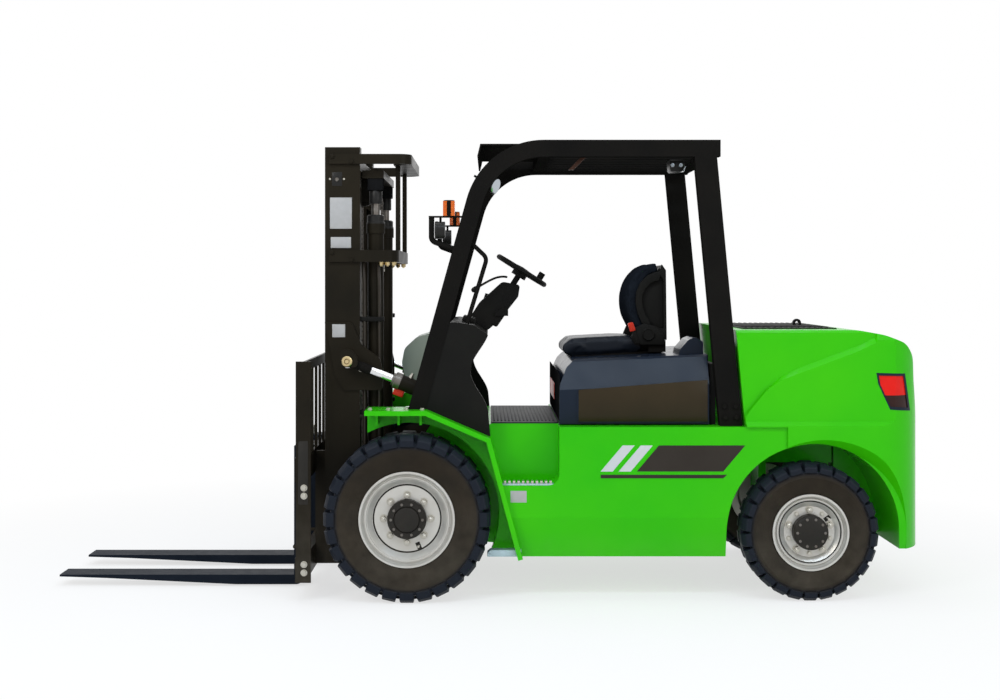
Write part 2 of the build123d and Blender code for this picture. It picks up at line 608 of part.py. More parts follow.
def steering():
    shroud = rounded([(-292, DASH_Z - 2), (-352, DASH_Z + 92), (-477, STEER_Z - 60), (-572, STEER_Z - 78),
                      (-563, STEER_Z - 141), (-470, DASH_Z + 6), (-399, DASH_Z - 57), (-330, DASH_Z - 40)],
                     {1: 120, 2: 30, 3: 16, 4: 16, 5: 80, 6: 20})
    column = across(shroud, -60, 60)
    column += column_plane(90) * extrude(Circle(16), amount=66)
    column += across(outline((-437, 1400), (-437, 1424), (-508, 1450), (-508, 1400)), -75, 75)
    write("steering_column", column - dash_top())
    grip = RegularPolygon(GRIP_R, 8, rotation=22.5)
    wheel = revolve(Plane.XZ * Pos(STEER_R - GRIP_R, 0) * grip, axis=Axis.Z)
    wheel += Pos(0, 0, -16) * Cylinder(42, 44)
    for angle in (90, 210, 330):
        wheel += Rot(0, 0, angle) * Pos((STEER_R - GRIP_R) / 2 + 8, 0, -6) * Box(STEER_R - GRIP_R - 14, 24, 12)
    wheel += Rot(0, 0, 222) * Pos(STEER_R - GRIP_R, 0, 26) * Cylinder(18, 52)
    wheel -= Pos(0, 0, -38) * Cylinder(16 + RUNNING_GAP, 40)
    write("steering_wheel", column_plane(0) * wheel)


def controls():
    plate = DASH_FRONT - 20
    brake = block((plate - 101, plate - 71), (-60, 60), (DECK_Z + 69, DECK_Z + 149))
    brake += block((plate - 101, plate), (-10, 10), (DECK_Z + 79, DECK_Z + 109))
    throttle = block((plate - 101, plate - 71), (-240, -150), (DECK_Z + 29, DECK_Z + 139))
    throttle += block((plate - 101, plate), (-205, -185), (DECK_Z + 39, DECK_Z + 69))
    write("pedals", brake, throttle)
    levers = []
    for i in range(4):
        y = -150 - 70 * i
        lever = bar_between((-345, y, DASH_Z - 35), (-395, y, DASH_Z + 120), 7)
        lever += bar_between((-386, y, DASH_Z + 92), (-400, y, DASH_Z + 135), 17)
        levers.append(lever - dash_top())
    write("control_levers", *levers)


def lamps():
    y = (GUARD_OUT + GUARD_IN) / 2
    z = LAMP_Z
    reach = leg_face(z, 1) + 152
    arm = pipe([(leg_face(z - 162, 1) - 6, y, z - 162), (reach, y, z - 121), (reach, y, z + 2)], 14, 30)
    arm += block((leg_face(z + 4, 1) - 4, reach + 14), (y - 18, y + 18), (z - 4, z + 4))
    core = reach - 88
    arm += rod_z(core, y, 27, z, z + 83) + rod_z(core + 43, y, 6, z - 24, z)
    write("lamp_brackets", *both(arm - guard_leg()))
    amber = [block((core + s, core + s + 19), (y - 30, y + 30), (z + 4.3, z + 79)) for s in (10.5, -29.5)]
    drum = rod_z(core, y, 27 + SEAT_GAP, z - 50, z + 200)
    write("signal_lamps", *[side for piece in amber for side in both(piece - drum)])
    shade = rod_x(y, z - 67, LAMP_R, core + 20, core + 66)
    write("head_lamps", *both(shade))
    bar = pipe([(leg_face(1780, -1) + 4, y, 1780), (-395, y, 1704), (-294, y, DASH_Z - 6)], 11, 40)
    write("grab_handles", bar - guard_leg())


# Hood, seat and battery
def hood_drop(u):
    """How far the hood's top has fallen at a station ahead of its back."""
    return HOOD_SLOPE * (u - HOOD_BACK)


def hood_form(inset):
    half = HOOD_W / 2 - inset
    base = DECK_Z + MOVING_GAP
    f, top = HOOD_FRONT - inset, HOOD_TOP_Z - inset
    low = hood_drop(f)
    side = rounded([(f, base), (f - 2, HOOD_TOP_Z - low - 121), (f - 38, top - low - 35), (f - 80, top - low + 6),
                    (HOOD_BACK, top + 10), (HOOD_BACK, base)], {1: 80, 2: 40, 3: 60})
    section = [(-half, base), (half, base), (half, HOOD_TOP_Z - 145), (half - 70, top - 10), (half - 90, top)]
    section += [(-y, z) for y, z in reversed(section[2:])]
    ends = []
    for u in (HOOD_BACK - 50, HOOD_FRONT + 50):
        corners = [(ahead(u), y, z if z == base else z - hood_drop(u)) for y, z in section]
        ends.append(make_face(Polyline(*corners, close=True)))
    return across(side, -half, half) & loft(ends, ruled=True)


def hood():
    shell = hood_form(0) - hood_form(HOOD_WALL) - Pos(-HOOD_WALL, 0, -1) * hood_form(HOOD_WALL)
    y = HOOD_W / 2
    ahead_u, behind_u = HOOD_FRONT - 88, HOOD_BACK + 12
    raised = rounded([(ahead_u, DECK_Z + 14), (ahead_u, HOOD_TOP_Z - 155 - hood_drop(ahead_u)),
                      (behind_u, HOOD_TOP_Z - 155 - hood_drop(behind_u)), (behind_u, DECK_Z + 14)],
                     {0: 30, 1: 30, 2: 30, 3: 30})
    shell += both(across(raised, y - 2, y + 7))
    vent = rounded([(HOOD_BACK + 8, HOOD_TOP_Z - 10), (HOOD_BACK + 8, HOOD_TOP_Z + 62), (HOOD_BACK + 50, HOOD_TOP_Z + 84),
                    (HOOD_BACK + 84, HOOD_TOP_Z + 70), (HOOD_BACK + 128, HOOD_TOP_Z + 20), (HOOD_BACK + 134, HOOD_TOP_Z - 10)],
                   {1: 20, 2: 20, 3: 20, 4: 10})
    shell += across(vent, 0.16 * HOOD_W, 0.37 * HOOD_W)
    eye = rod_y(HINGE_U, HINGE_Z, HINGE_EYE_R, 270, 300)
    eye += block((HINGE_U, HOOD_BACK + 20), (270, 300), (HINGE_Z - 5, HINGE_Z + HINGE_EYE_R))
    eye -= rod_y(HINGE_U, HINGE_Z, HINGE_R + RUNNING_GAP, 260, 310)
    write("hood_shell", shell + both(eye))
    u = HINGE_U
    panel = block((u - 16, u + 9), (-GUARD_IN + 5, GUARD_IN - 5), (DECK_Z, HINGE_Z - 25))
    lugs = rod_y(u, HINGE_Z, HINGE_R, 256, 314)
    for low, high in ((254, 268), (302, 316)):
        lugs += rod_y(u, HINGE_Z, HINGE_EYE_R, low, high)
        lugs += block((u - 13, u + 9), (low, high), (HINGE_Z - 30, HINGE_Z))
    write("rear_panel", panel + both(lugs))
    case = block((HOOD_BACK + 15, HOOD_FRONT - 50), (20 - TANK_IN, TANK_IN - 20), (BELLY_Z + PLATE, DECK_Z))
    lid = HOOD_W / 2 - HOOD_WALL - CASE_CLEAR
    case += block((HOOD_BACK + 15, HOOD_FRONT - 50), (-lid, lid), (DECK_Z - 20, HOOD_TOP_Z - 155))
    write("battery_pack", case)


def seat():
    f, z = HOOD_FRONT - 14, HOOD_TOP_Z
    half = SEAT_W / 2
    low, high = z - hood_drop(f), z - hood_drop(f - 464)
    base = across(outline((f - 84, z - hood_drop(f - 84)), (f - 84, low + 12), (f - 464, high + 12), (f - 544, z + 24),
                          (f - 544, z - hood_drop(f - 544))), 45 - half, half - 45)
    base += block((f - 564, f - 474), (10 - half, half - 10), (z - 2, z + 60))
    write("seat_frame", base)
    cushion = rounded([(f - 24, low + 9), (f, low + 26), (f - 4, low + 74), (f - 60, low + 92), (f - 300, high + 84),
                       (f - 414, high + 84), (f - 464, high + 12), (f - 84, low + 12)], {1: 12, 2: 24, 3: 60, 5: 24})
    write("seat_cushion", across(cushion, -half, half))
    join = [(f - 504, z + 77), (f - 534, z + 105), (f - 544, z + 425)]
    back = curved(join[2], [(f - 534, z + 473), (f - 484, z + 465), (f - 394, z + 385), (f - 340, z + 273),
                            (f - 384, z + 115), (f - 424, z + 77)], [join[0], join[1]])
    write("seat_backrest", across(back, -half, half))
    shell = outline((f - 504, z + 60), *join, (f - 568, z + 425), (f - 564, z + 60))
    write("seat_back_shell", across(shell, 10 - half, half - 10))


# Mast
def channel(low, high):
    """Left outer rail, a channel with its web outside."""
    inside = MAST_HALF - RAIL_FLANGE_W
    solid = block((RAIL_BACK, MAST_FRONT), (inside, MAST_HALF), (low, high))
    return solid - block((RAIL_BACK + RAIL_FLANGE, MAST_FRONT - RAIL_FLANGE), (inside - 1, MAST_HALF - RAIL_WEB),
                         (low - 1, high + 1))


def band(low, high, back):
    """Cross-member that runs outside both rails and round behind them."""
    front = MAST_FRONT - 21
    outer = Rectangle(front - back, 2 * MAST_HALF + 2 * BAND_T)
    outer = fillet(outer.vertices().group_by(Axis.X)[0], 70)
    inner = Pos(25, 0) * Rectangle(front - back, 2 * MAST_HALF)
    inner = fillet(inner.vertices().group_by(Axis.X)[0], 50)
    return Pos(ahead((front + back) / 2), 0, low) * extrude(outer - inner, amount=high - low)


def mast_outer():
    write("outer_rails", *both(channel(RAIL_BOTTOM_Z, RAIL_TOP_Z + 36)))
    middle_z = MIDDLE_Z
    strut = RAIL_BACK - 198
    members = band(RAIL_TOP_Z - 51, RAIL_TOP_Z, RAIL_BACK - 263) + band(middle_z, middle_z + 61, strut)
    members += block((TIE_BACK, RAIL_BACK), (-MAST_HALF, MAST_HALF), (middle_z, middle_z + 61))
    members += block((RAIL_BACK - 262, strut + 30), (60 - MAST_HALF, MAST_HALF - 60),
                     (RAIL_TOP_Z - 51, RAIL_TOP_Z - 39))
    for y in (-MAST_HALF + 145, MAST_HALF - 145):
        members += block((strut, strut + 24), (y - 14, y + 14), (middle_z + 50, RAIL_TOP_Z - 50))
    for y in (-CHAIN_Y, CHAIN_Y):
        members += block((SHEAVE_U - SHEAVE_R - 31, TIE_BACK), (y - 24, y + 24), (middle_z + 14, middle_z + 61))
    low = block((TIE_BACK, RAIL_BACK), (-MAST_HALF, MAST_HALF), (RAIL_BOTTOM_Z + 410, RAIL_BOTTOM_Z + 510))
    foot = block((TIE_BACK, RAIL_BACK), (-MAST_HALF, MAST_HALF), (RAIL_BOTTOM_Z, RAIL_BOTTOM_Z + 100))
    foot += block((BARREL_U - 55, RAIL_BACK), (25 - MAST_HALF, MAST_HALF - 25), (RAIL_BOTTOM_Z, BARREL_BOTTOM_Z))
    write("outer_crossmembers", members, low, foot)
    z = FRONT_TYRE_R
    hanger = outline((RAIL_BACK, z - 163), (RAIL_BACK, z + 147), (150, z + 107), (40, z + 122), (-70, z + 107),
                     (-120, z + 7), (-80, z - 103), (60, z - 133))
    hanger = across(hanger, MAST_HALF - 45, MAST_HALF - 7)
    write("mast_hangers", *both(hanger - rod_y(0, z, AXLE_TUBE_R + RUNNING_GAP, 0, FRONT_OUTSIDE)))
    u, z = TILT_PIN
    plate = rounded([(MAST_FRONT, BRACKET_TOP_Z), (u - 16, BRACKET_TOP_Z), (u - 67, z + 79), (u - 160, z + 13), (u - 175, z - 49),
                     (u - 175, z - 152), (u + 23, z - 152), (u + 71, z - 75)], {1: 30, 2: 40, 3: 30, 4: 20, 5: 20})
    ear = rounded([(u + 35, z + 60), (u - 25, z + 60), (u - 53, z + 20), (u - 53, z - 30), (u + 35, z - 30)],
                  {0: 20, 1: 30, 2: 20, 3: 20, 4: 20})
    bracket = across(plate, MAST_HALF, MAST_HALF + 12) + across(ear, TILT_Y + 25, TILT_Y + 39)
    bracket += rod_y(u, z, TILT_PIN_R, MAST_HALF, TILT_Y + 43)
    write("tilt_brackets", *both(bracket))
    barrel = rod_z(BARREL_U, BARREL_Y, BARREL_R, BARREL_BOTTOM_Z, BARREL_TOP_Z)
    barrel += rod_z(BARREL_U, BARREL_Y, BARREL_R + 6, BARREL_TOP_Z - 50, BARREL_TOP_Z)
    barrel -= rod_z(BARREL_U, BARREL_Y, ROD_R + RUNNING_GAP, BARREL_BOTTOM_Z + 40, BARREL_TOP_Z + 1)
    write("lift_barrels", *both(barrel))


def mast_inner():
    low, high = RAIL_BOTTOM_Z + 15, RAIL_TOP_Z + 36
    rail = block((INNER_BACK, INNER_FRONT), (INNER_IN, INNER_OUT), (low, high))
    for inner, outer in ((INNER_IN - 1, INNER_IN + 40), (INNER_OUT - 35, INNER_OUT + 1)):
        rail -= block((INNER_BACK + INNER_FLANGE, INNER_FRONT - INNER_FLANGE), (inner, outer), (low - 1, high + 1))
    write("inner_rails", *both(rail))
    lip = MAST_HALF - RAIL_FLANGE_W - MOVING_GAP
    back = RAIL_BACK + MOVING_GAP
    tie = RAIL_TOP_Z - 120
    top = block((back, INNER_BACK), (-lip, lip), (tie, tie + 100))
    top += block((BARREL_U - 45, RAIL_BACK - 8), (50 - MAST_HALF, MAST_HALF - 50), (tie, tie + 40))
    top += block((200, back + 4), (-lip, lip), (tie, tie + 40))
    foot = block((back, INNER_BACK), (-lip, lip), (low + 35, low + 135))
    for y in (-CHAIN_Y, CHAIN_Y):
        top += rod_y(SHEAVE_U, SHEAVE_Z, SHEAVE_R, y - 21, y + 21) + rod_y(SHEAVE_U, SHEAVE_Z, 12, y - 34, y + 34)
        for edge in (y - 34, y + 24):
            top += block((SHEAVE_U - 20, SHEAVE_U + 20), (edge, edge + 10), (SHEAVE_Z - 25, tie + 5))
    write("inner_crossmembers", top, foot)
    rod = rod_z(BARREL_U, BARREL_Y, ROD_R, BARREL_BOTTOM_Z + 120, tie - 60)
    rod += block((BARREL_U - 38, BARREL_U + 38), (BARREL_Y - 38, BARREL_Y + 38), (tie - 60, tie))
    write("lift_rods", *both(rod))
    strands = []
    inner_r, outer_r = SHEAVE_R + 1, SHEAVE_R + 1 + CHAIN_T
    for y in (-CHAIN_Y, CHAIN_Y):
        span = (y - CHAIN_W / 2, y + CHAIN_W / 2)
        arc = rod_y(SHEAVE_U, SHEAVE_Z, outer_r, *span) - rod_y(SHEAVE_U, SHEAVE_Z, inner_r, y - 30, y + 30)
        arc -= block((SHEAVE_U - 100, SHEAVE_U + 100), (y - 30, y + 30), (SHEAVE_Z - 100, SHEAVE_Z))
        arc += block((SHEAVE_U + inner_r, SHEAVE_U + outer_r), span, (BAR_HIGH_Z + 50, SHEAVE_Z))
        arc += block((SHEAVE_U - outer_r, SHEAVE_U - inner_r), span, (MIDDLE_Z + 61, SHEAVE_Z))
        strands.append(arc)
    write("lift_chains", *strands)


# Carriage and forks
def carriage():
    half = BAR_W / 2
    low_bar = block((BAR_BACK, BAR_FRONT), (-half, half), (BAR_LOW_Z, BAR_LOW_Z + BAR_H))
    high_bar = block((BAR_BACK, BAR_FRONT), (-half, half), (BAR_HIGH_Z, BAR_HIGH_Z + BAR_H))
    write("fork_bars", low_bar, high_bar)
    plate_y = INNER_IN - 15
    plate = block((INNER_BACK + 40, BAR_BACK), (plate_y - 30, plate_y), (BAR_LOW_Z + 15, BAR_HIGH_Z + 110))
    roller_r = (INNER_FRONT - INNER_BACK) / 2 - INNER_FLANGE - SEAT_GAP
    for z in (BAR_LOW_Z + 105, BAR_HIGH_Z + 10):
        plate += rod_y((INNER_BACK + INNER_FRONT) / 2, z, roller_r, plate_y - 1, INNER_IN + 36)
    write("carriage_plates", *both(plate))
    rest_u = BAR_BACK - 5
    rail_z = BACKREST_TOP_Z - 50
    rest = block((rest_u, rest_u + 14), (-half, half), (rail_z, BACKREST_TOP_Z))
    pitch = (BAR_W - 260) / (SLATS - 1)
    for i in range(SLATS):
        y = (i - (SLATS - 1) / 2) * pitch
        rest += block((rest_u, rest_u + 14), (y - 9, y + 9), (BAR_HIGH_Z + BAR_H, rail_z + 10))
    upright = block((BAR_BACK - 30, BAR_FRONT - 6), (half, half + UPRIGHT_T), (BAR_LOW_Z + 3, BACKREST_TOP_Z))
    write("load_backrest", rest + both(upright))
    top = FORK_Z + FORK_T
    tip = LOAD_DISTANCE + FORK_LENGTH
    blade = rounded([(BAR_FRONT, FORK_Z), (BAR_FRONT, BAR_HIGH_Z + 140), (LOAD_DISTANCE, BAR_HIGH_Z + 140),
                     (LOAD_DISTANCE, top), (tip, top), (tip, top - 0.2 * FORK_T),
                     (tip - 0.2 * FORK_LENGTH, top - 0.36 * FORK_T), (LOAD_DISTANCE + 0.25 * FORK_LENGTH, FORK_Z)],
                    {0: 45})
    hook = outline((BAR_FRONT + 5, BAR_HIGH_Z + BAR_H + SEAT_GAP), (BAR_FRONT + 5, BAR_HIGH_Z + BAR_H + 18),
                   (BAR_BACK + 26, BAR_HIGH_Z + BAR_H + 18), (BAR_BACK + 16, BAR_HIGH_Z + BAR_H + SEAT_GAP))
    blade += hook
    write("forks", *both(across(blade, FORK_Y - FORK_W / 2, FORK_Y + FORK_W / 2)))


def tilt_cylinders():
    du, dz = TILT_PIN[0] - TILT_ANCHOR[0], TILT_PIN[1] - TILT_ANCHOR[1]
    length = hypot(du, dz)
    end = length - 256
    base = Plane(origin=(ahead(TILT_ANCHOR[0]), TILT_Y, TILT_ANCHOR[1]), x_dir=(0, 1, 0), z_dir=(du, 0, dz))
    barrel = base * (Pos(0, 0, (60 + end) / 2) * Cylinder(TILT_BARREL_R, end - 60))
    barrel += rod_y(*TILT_ANCHOR, TILT_EYE_R - 4, TILT_Y - 13, TILT_Y + 13)
    barrel += base * (Pos(0, 0, 45) * Box(26, 50, 50))
    barrel -= rod_y(*TILT_ANCHOR, TILT_PIN_R + RUNNING_GAP, TILT_Y - 40, TILT_Y + 40)
    barrel -= base * (Pos(0, 0, 90 + end / 2) * Cylinder(TILT_ROD_R + RUNNING_GAP, end))
    write_pair("tilt_barrel", barrel)
    start, stop = length - 442, length - TILT_EYE_R + 6
    rod = base * (Pos(0, 0, (start + stop) / 2) * Cylinder(TILT_ROD_R, stop - start))
    rod += rod_y(*TILT_PIN, TILT_EYE_R, TILT_Y - 17, TILT_Y + 18)
    rod -= rod_y(*TILT_PIN, TILT_PIN_R + EYE_PLAY, TILT_Y - 40, TILT_Y + 40)
    write_pair("tilt_rod", rod)


def floor_mat():
    edge = TANK_IN + STEP_WALL
    write("floor_mat", block((HOOD_FRONT + 4, FENDER[2][0] - 3), (-edge, edge), (DECK_Z, DECK_Z + 7)))


os.makedirs("parts", exist_ok=True)
for build in (wheels, drive_axle, steer_axle, knuckles, side_panels, fenders, frame, counterweight, guard, cowl,
              steering, controls, lamps, hood, seat, mast_outer, mast_inner, carriage, tilt_cylinders, floor_mat):
    build()
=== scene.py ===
"""Looks of a counterbalanced forklift truck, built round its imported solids."""

import json
import logging
import math
from dataclasses import dataclass
from enum import Enum
from typing import Any, Sequence

import bmesh
import bpy
from mathutils import Matrix, Vector


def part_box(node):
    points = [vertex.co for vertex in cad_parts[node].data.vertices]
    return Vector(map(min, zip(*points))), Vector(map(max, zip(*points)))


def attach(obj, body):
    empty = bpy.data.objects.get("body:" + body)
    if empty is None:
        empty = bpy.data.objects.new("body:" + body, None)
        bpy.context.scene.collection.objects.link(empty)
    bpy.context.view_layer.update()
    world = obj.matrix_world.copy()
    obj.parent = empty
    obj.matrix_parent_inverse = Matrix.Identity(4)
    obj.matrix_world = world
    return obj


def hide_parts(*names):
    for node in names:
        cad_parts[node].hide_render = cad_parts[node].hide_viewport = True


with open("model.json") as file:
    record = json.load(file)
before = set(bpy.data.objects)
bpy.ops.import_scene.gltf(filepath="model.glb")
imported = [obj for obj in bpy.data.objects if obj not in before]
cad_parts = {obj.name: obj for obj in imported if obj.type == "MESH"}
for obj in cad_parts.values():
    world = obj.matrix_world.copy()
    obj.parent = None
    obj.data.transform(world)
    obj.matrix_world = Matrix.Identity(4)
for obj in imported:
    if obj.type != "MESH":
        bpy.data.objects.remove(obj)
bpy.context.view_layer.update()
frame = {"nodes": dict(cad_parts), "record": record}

log = logging.getLogger("forklift")

MM = 1000.0  # millimetres in a metre
AXLE_X = 0.380  # front axle, from the middle of the truck
SIDES = {"left": 1.0, "right": -1.0}
LEFT, UP, AHEAD = Vector((0, 1, 0)), Vector((0, 0, 1)), Vector((1, 0, 0))
WHITE = (1.0, 1.0, 1.0, 1.0)
DUST = (0.22, 0.19, 0.15)
GRAIN_HEIGHT = 0.002  # metres, at a depth of 1
COAT_ROUGHNESS = 0.06
LOW_EDGE = 0.004  # metres over which a lower colour starts
DUST_PATCHES = 14.0  # scale of the noise that breaks the dust up
TREAD_EDGE = 0.01  # half the width over which the sidewall's colour turns to the tread's painted sky reflection
RING_HALF, RING_HEIGHT = 0.003, 2.5  # moulded rings of a tyre
Colour = tuple[float, float, float]
Point2 = tuple[float, float]
Point3 = tuple[float, float, float]
Shape = bmesh.types.BMesh
Socket = bpy.types.NodeSocket


def place(u: float, y: float, z: float) -> Vector:
    """Point in the frame.

    Args:
        u: Station ahead of the front axle, in millimetres.
        y: Offset to the driver's left, in millimetres.
        z: Height over the floor, in millimetres.

    Returns:
        The point in metres.
    """
    return Vector((AXLE_X + u / MM, y / MM, z / MM))


def facing(centre: Vector, axis: Vector) -> Matrix:
    """Matrix that sets a piece built along +Z at a place.

    Args:
        centre: Where the piece's origin goes.
        axis: Direction that its +Z takes.

    Returns:
        The placing matrix.
    """
    return Matrix.Translation(centre) @ axis.to_track_quat("Z", "Y").to_matrix().to_4x4()


class Graph:
    """Node tree with short ways to add to it."""

    def __init__(self, tree: bpy.types.NodeTree) -> None:
        """Wraps a tree."""
        self.tree = tree

    def add(self, kind: str, *first: Any, **named: Any) -> bpy.types.Node:
        """Adds a node.

        Args:
            kind: Node's type.
            first: Sockets or values for its first inputs, in order.
            named: Settings of the node, in lower case, and sockets or values for its inputs, with a capital and
                with underscores for spaces.

        Returns:
            The node.
        """
        node = self.tree.nodes.new(kind)
        for key in [k for k in named if k.islower()]:
            setattr(node, key, named.pop(key))
        return self.fill(node, dict(enumerate(first)) | {k.replace("_", " "): v for k, v in named.items()})

    def fill(self, node: bpy.types.Node, values: dict[Any, Any]) -> bpy.types.Node:
        """Sets or links a node's inputs.

        Args:
            node: Node of the tree.
            values: Sockets or values by the input's place or name; None leaves one as it is.

        Returns:
            The same node.
        """
        for key, value in values.items():
            if isinstance(value, Socket):
                self.tree.links.new(value, node.inputs[key])
            elif value is not None:
                node.inputs[key].default_value = value
        return node

    @property
    def coords(self) -> Socket:
        """Object coordinates of the surface."""
        return self.add("ShaderNodeTexCoord").outputs["Object"]

    def calc(self, operation: str, *values: Any) -> Socket:
        """Adds a sum of sockets or values and returns its result."""
        return self.add("ShaderNodeMath", *values, operation=operation).outputs["Value"]

    def ranged(self, value: Socket, **ends: float) -> Socket:
        """Adds a map range of a value, with its ends named as the node names them."""
        return self.add("ShaderNodeMapRange", Value=value, **ends).outputs["Result"]

    def noise(self, scale: float, detail: float, coords: Socket | None = None) -> Socket:
        """Adds a noise texture.

        Args:
            scale: Size of the noise.
            detail: Octaves.
            coords: Where it is read, or none for the surface's own coordinates.

        Returns:
            The factor's socket.
        """
        where = self.coords if coords is None else coords
        return self.add("ShaderNodeTexNoise", Vector=where, Scale=scale, Detail=detail).outputs["Fac"]

    def mix(self, under: Socket | Colour, over: Colour, share: Socket) -> Socket:
        """Adds a mix of two colours.

        Args:
            under: Colour, or its socket, where the share is 0.
            over: Colour where the share is 1.
            share: The share's socket.

        Returns:
            The mixed colour's socket.
        """
        below = under if isinstance(under, Socket) else (*under, 1.0)
        return self.add("ShaderNodeMix", data_type="RGBA", Factor=share, A=below, B=(*over, 1.0)).outputs["Result"]


class Grain(Enum):
    """Fine relief of a surface."""

    PEEL = "peel"
    LEATHER = "leather"
    BRUSHED = "brushed"
    CAST = "cast"
    RIBBED = "ribbed"


@dataclass(frozen=True)
class Finish:
    """One surface finish, as a node material on object coordinates."""

    name: str
    colour: Colour
    shade: Colour
    roughness: float
    swing: float = 0.08
    mottle: float = 3.0
    metallic: float = 0.0
    coat: float = 0.0
    transmission: float = 0.0
    specular: float = 0.32
    grain: Grain = Grain.PEEL
    grain_scale: float = 300.0
    grain_depth: float = 0.05
    low_colour: Colour | None = None
    low_top: float = 0.0
    dust: float = 0.0
    dust_top: float = 0.5

    def material(self) -> bpy.types.Material:
        """Returns the finish's material, made at its first use."""
        return bpy.data.materials.get(f"{self.name}_finish") or self._build()

    def _build(self) -> bpy.types.Material:
        """Builds the node tree.

        Returns:
            The new material.
        """
        material = bpy.data.materials.new(f"{self.name}_finish")
        material.use_nodes = True
        material.diffuse_color = (*self.colour, 1.0)
        graph = Graph(material.node_tree)
        rough = graph.ranged(graph.noise(4.0 * self.mottle, 3.0), To_Min=max(self.roughness - self.swing, 0.02),
                             To_Max=min(self.roughness + self.swing, 1.0))
        bump = graph.add("ShaderNodeBump", Strength=self.grain_depth, Distance=GRAIN_HEIGHT,
                         Height=self._relief(graph))
        shader = next(n for n in graph.tree.nodes if n.type == "BSDF_PRINCIPLED")
        graph.fill(shader, {
            "Base Color": self._coloured(graph), "Roughness": rough, "Normal": bump.outputs["Normal"],
            "Metallic": self.metallic, "Specular IOR Level": self.specular, "Coat Weight": self.coat,
            "Coat Roughness": COAT_ROUGHNESS, "Transmission Weight": self.transmission,
        })
        return material

    def _coloured(self, graph: Graph) -> Socket:
        """Mottles the colour, and lays the lower colour and the road dust over it.

        Args:
            graph: Material's tree.

        Returns:
            The colour's socket.
        """
        colour = graph.mix(self.colour, self.shade, graph.noise(self.mottle, 5.0))
        if self.low_colour:
            share = self._below(graph, self.low_top, self.low_top - LOW_EDGE, 1.0)
            colour = graph.mix(colour, self.low_colour, share)
        if self.dust:
            share = self._below(graph, self.dust_top, 0.0, self.dust)
            colour = graph.mix(colour, DUST, graph.calc("MULTIPLY", share, graph.noise(DUST_PATCHES, 6.0)))
        return colour

    def _below(self, graph: Graph, top: float, full: float, share: float) -> Socket:
        """Adds a share that grows from a height downwards.

        Args:
            graph: Material's tree.
            top: Height where it starts, in metres.
            full: Height where it is whole.
            share: What it comes to there.

        Returns:
            The share's socket.
        """
        height = graph.add("ShaderNodeSeparateXYZ", graph.coords).outputs["Z"]
        return graph.ranged(height, From_Min=top, From_Max=full, To_Max=share)

    def _relief(self, graph: Graph) -> Socket:
        """Adds the grain's height.

        Args:
            graph: Material's tree.

        Returns:
            The height's socket.
        """
        read = {"Vector": graph.coords, "Scale": self.grain_scale}
        if self.grain is Grain.LEATHER:
            return graph.add("ShaderNodeTexVoronoi", feature="DISTANCE_TO_EDGE", **read).outputs["Distance"]
        if self.grain is Grain.RIBBED:
            return graph.add("ShaderNodeTexWave", bands_direction="Z", **read).outputs["Fac"]
        if self.grain is Grain.BRUSHED:
            drawn = graph.add("ShaderNodeMapping", Vector=graph.coords, Scale=(1.0, 1.0, 0.05))
            return graph.noise(self.grain_scale, 4.0, drawn.outputs["Vector"])
        return graph.noise(self.grain_scale, 8.0 if self.grain is Grain.CAST else 2.0)


@dataclass(frozen=True)
class TyreFinish(Finish):
    """Rubber with moulded rings round its axle and a bluish tread, which is a painted reflection of the sky on the
    lugs.
    """

    axle: Point2 = (0.0, 0.0)
    rings: tuple[float, ...] = ()
    tread_from: float = 0.36
    # Bluish colour of the tread: a painted reflection of the sky on the lugs.
    tread_sky_reflection: Colour = (0.011, 0.014, 0.021)

    def _radius(self, graph: Graph) -> Socket:
        """Adds the distance from the axle.

        Args:
            graph: Material's tree.

        Returns:
            The distance's socket.
        """
        flat = graph.add("ShaderNodeVectorMath", graph.coords, (1.0, 0.0, 1.0), operation="MULTIPLY")
        axle = (self.axle[0], 0.0, self.axle[1])
        return graph.add("ShaderNodeVectorMath", flat.outputs["Vector"], axle, operation="DISTANCE").outputs["Value"]

    def _coloured(self, graph: Graph) -> Socket:
        """Tints the tread bluish over the plain colour, as a painted sky reflection.

        Args:
            graph: Material's tree.

        Returns:
            The colour's socket.
        """
        edge = graph.ranged(self._radius(graph), From_Min=self.tread_from - TREAD_EDGE,
                            From_Max=self.tread_from + TREAD_EDGE)
        return graph.mix(super()._coloured(graph), self.tread_sky_reflection, edge)

    def _relief(self, graph: Graph) -> Socket:
        """Adds the moulded rings to the grain.

        Args:
            graph: Material's tree.

        Returns:
            The height's socket.
        """
        height, radius = super()._relief(graph), self._radius(graph)
        for ring in self.rings:
            height = graph.calc("MULTIPLY_ADD", graph.calc("COMPARE", radius, ring, RING_HALF), RING_HEIGHT, height)
        return height


# The lighter yellow-green of this mottle is a painted reflection on the paint; the dust low down is road dust.
GREEN_PAINT_AND_REFLECTION = Finish("green_paint", (0.006, 0.43, 0.002), (0.070, 0.60, 0.002), 0.24, 0.06, 1.2, coat=0.06,
                     specular=0.10, grain_scale=160.0, grain_depth=0.02, dust=0.3, dust_top=0.35)
BLACK_PAINT = Finish("black_paint", (0.007, 0.007, 0.007), (0.015, 0.013, 0.011), 0.40, 0.10, 4.0, specular=0.0,
                     grain_scale=220.0, grain_depth=0.06)
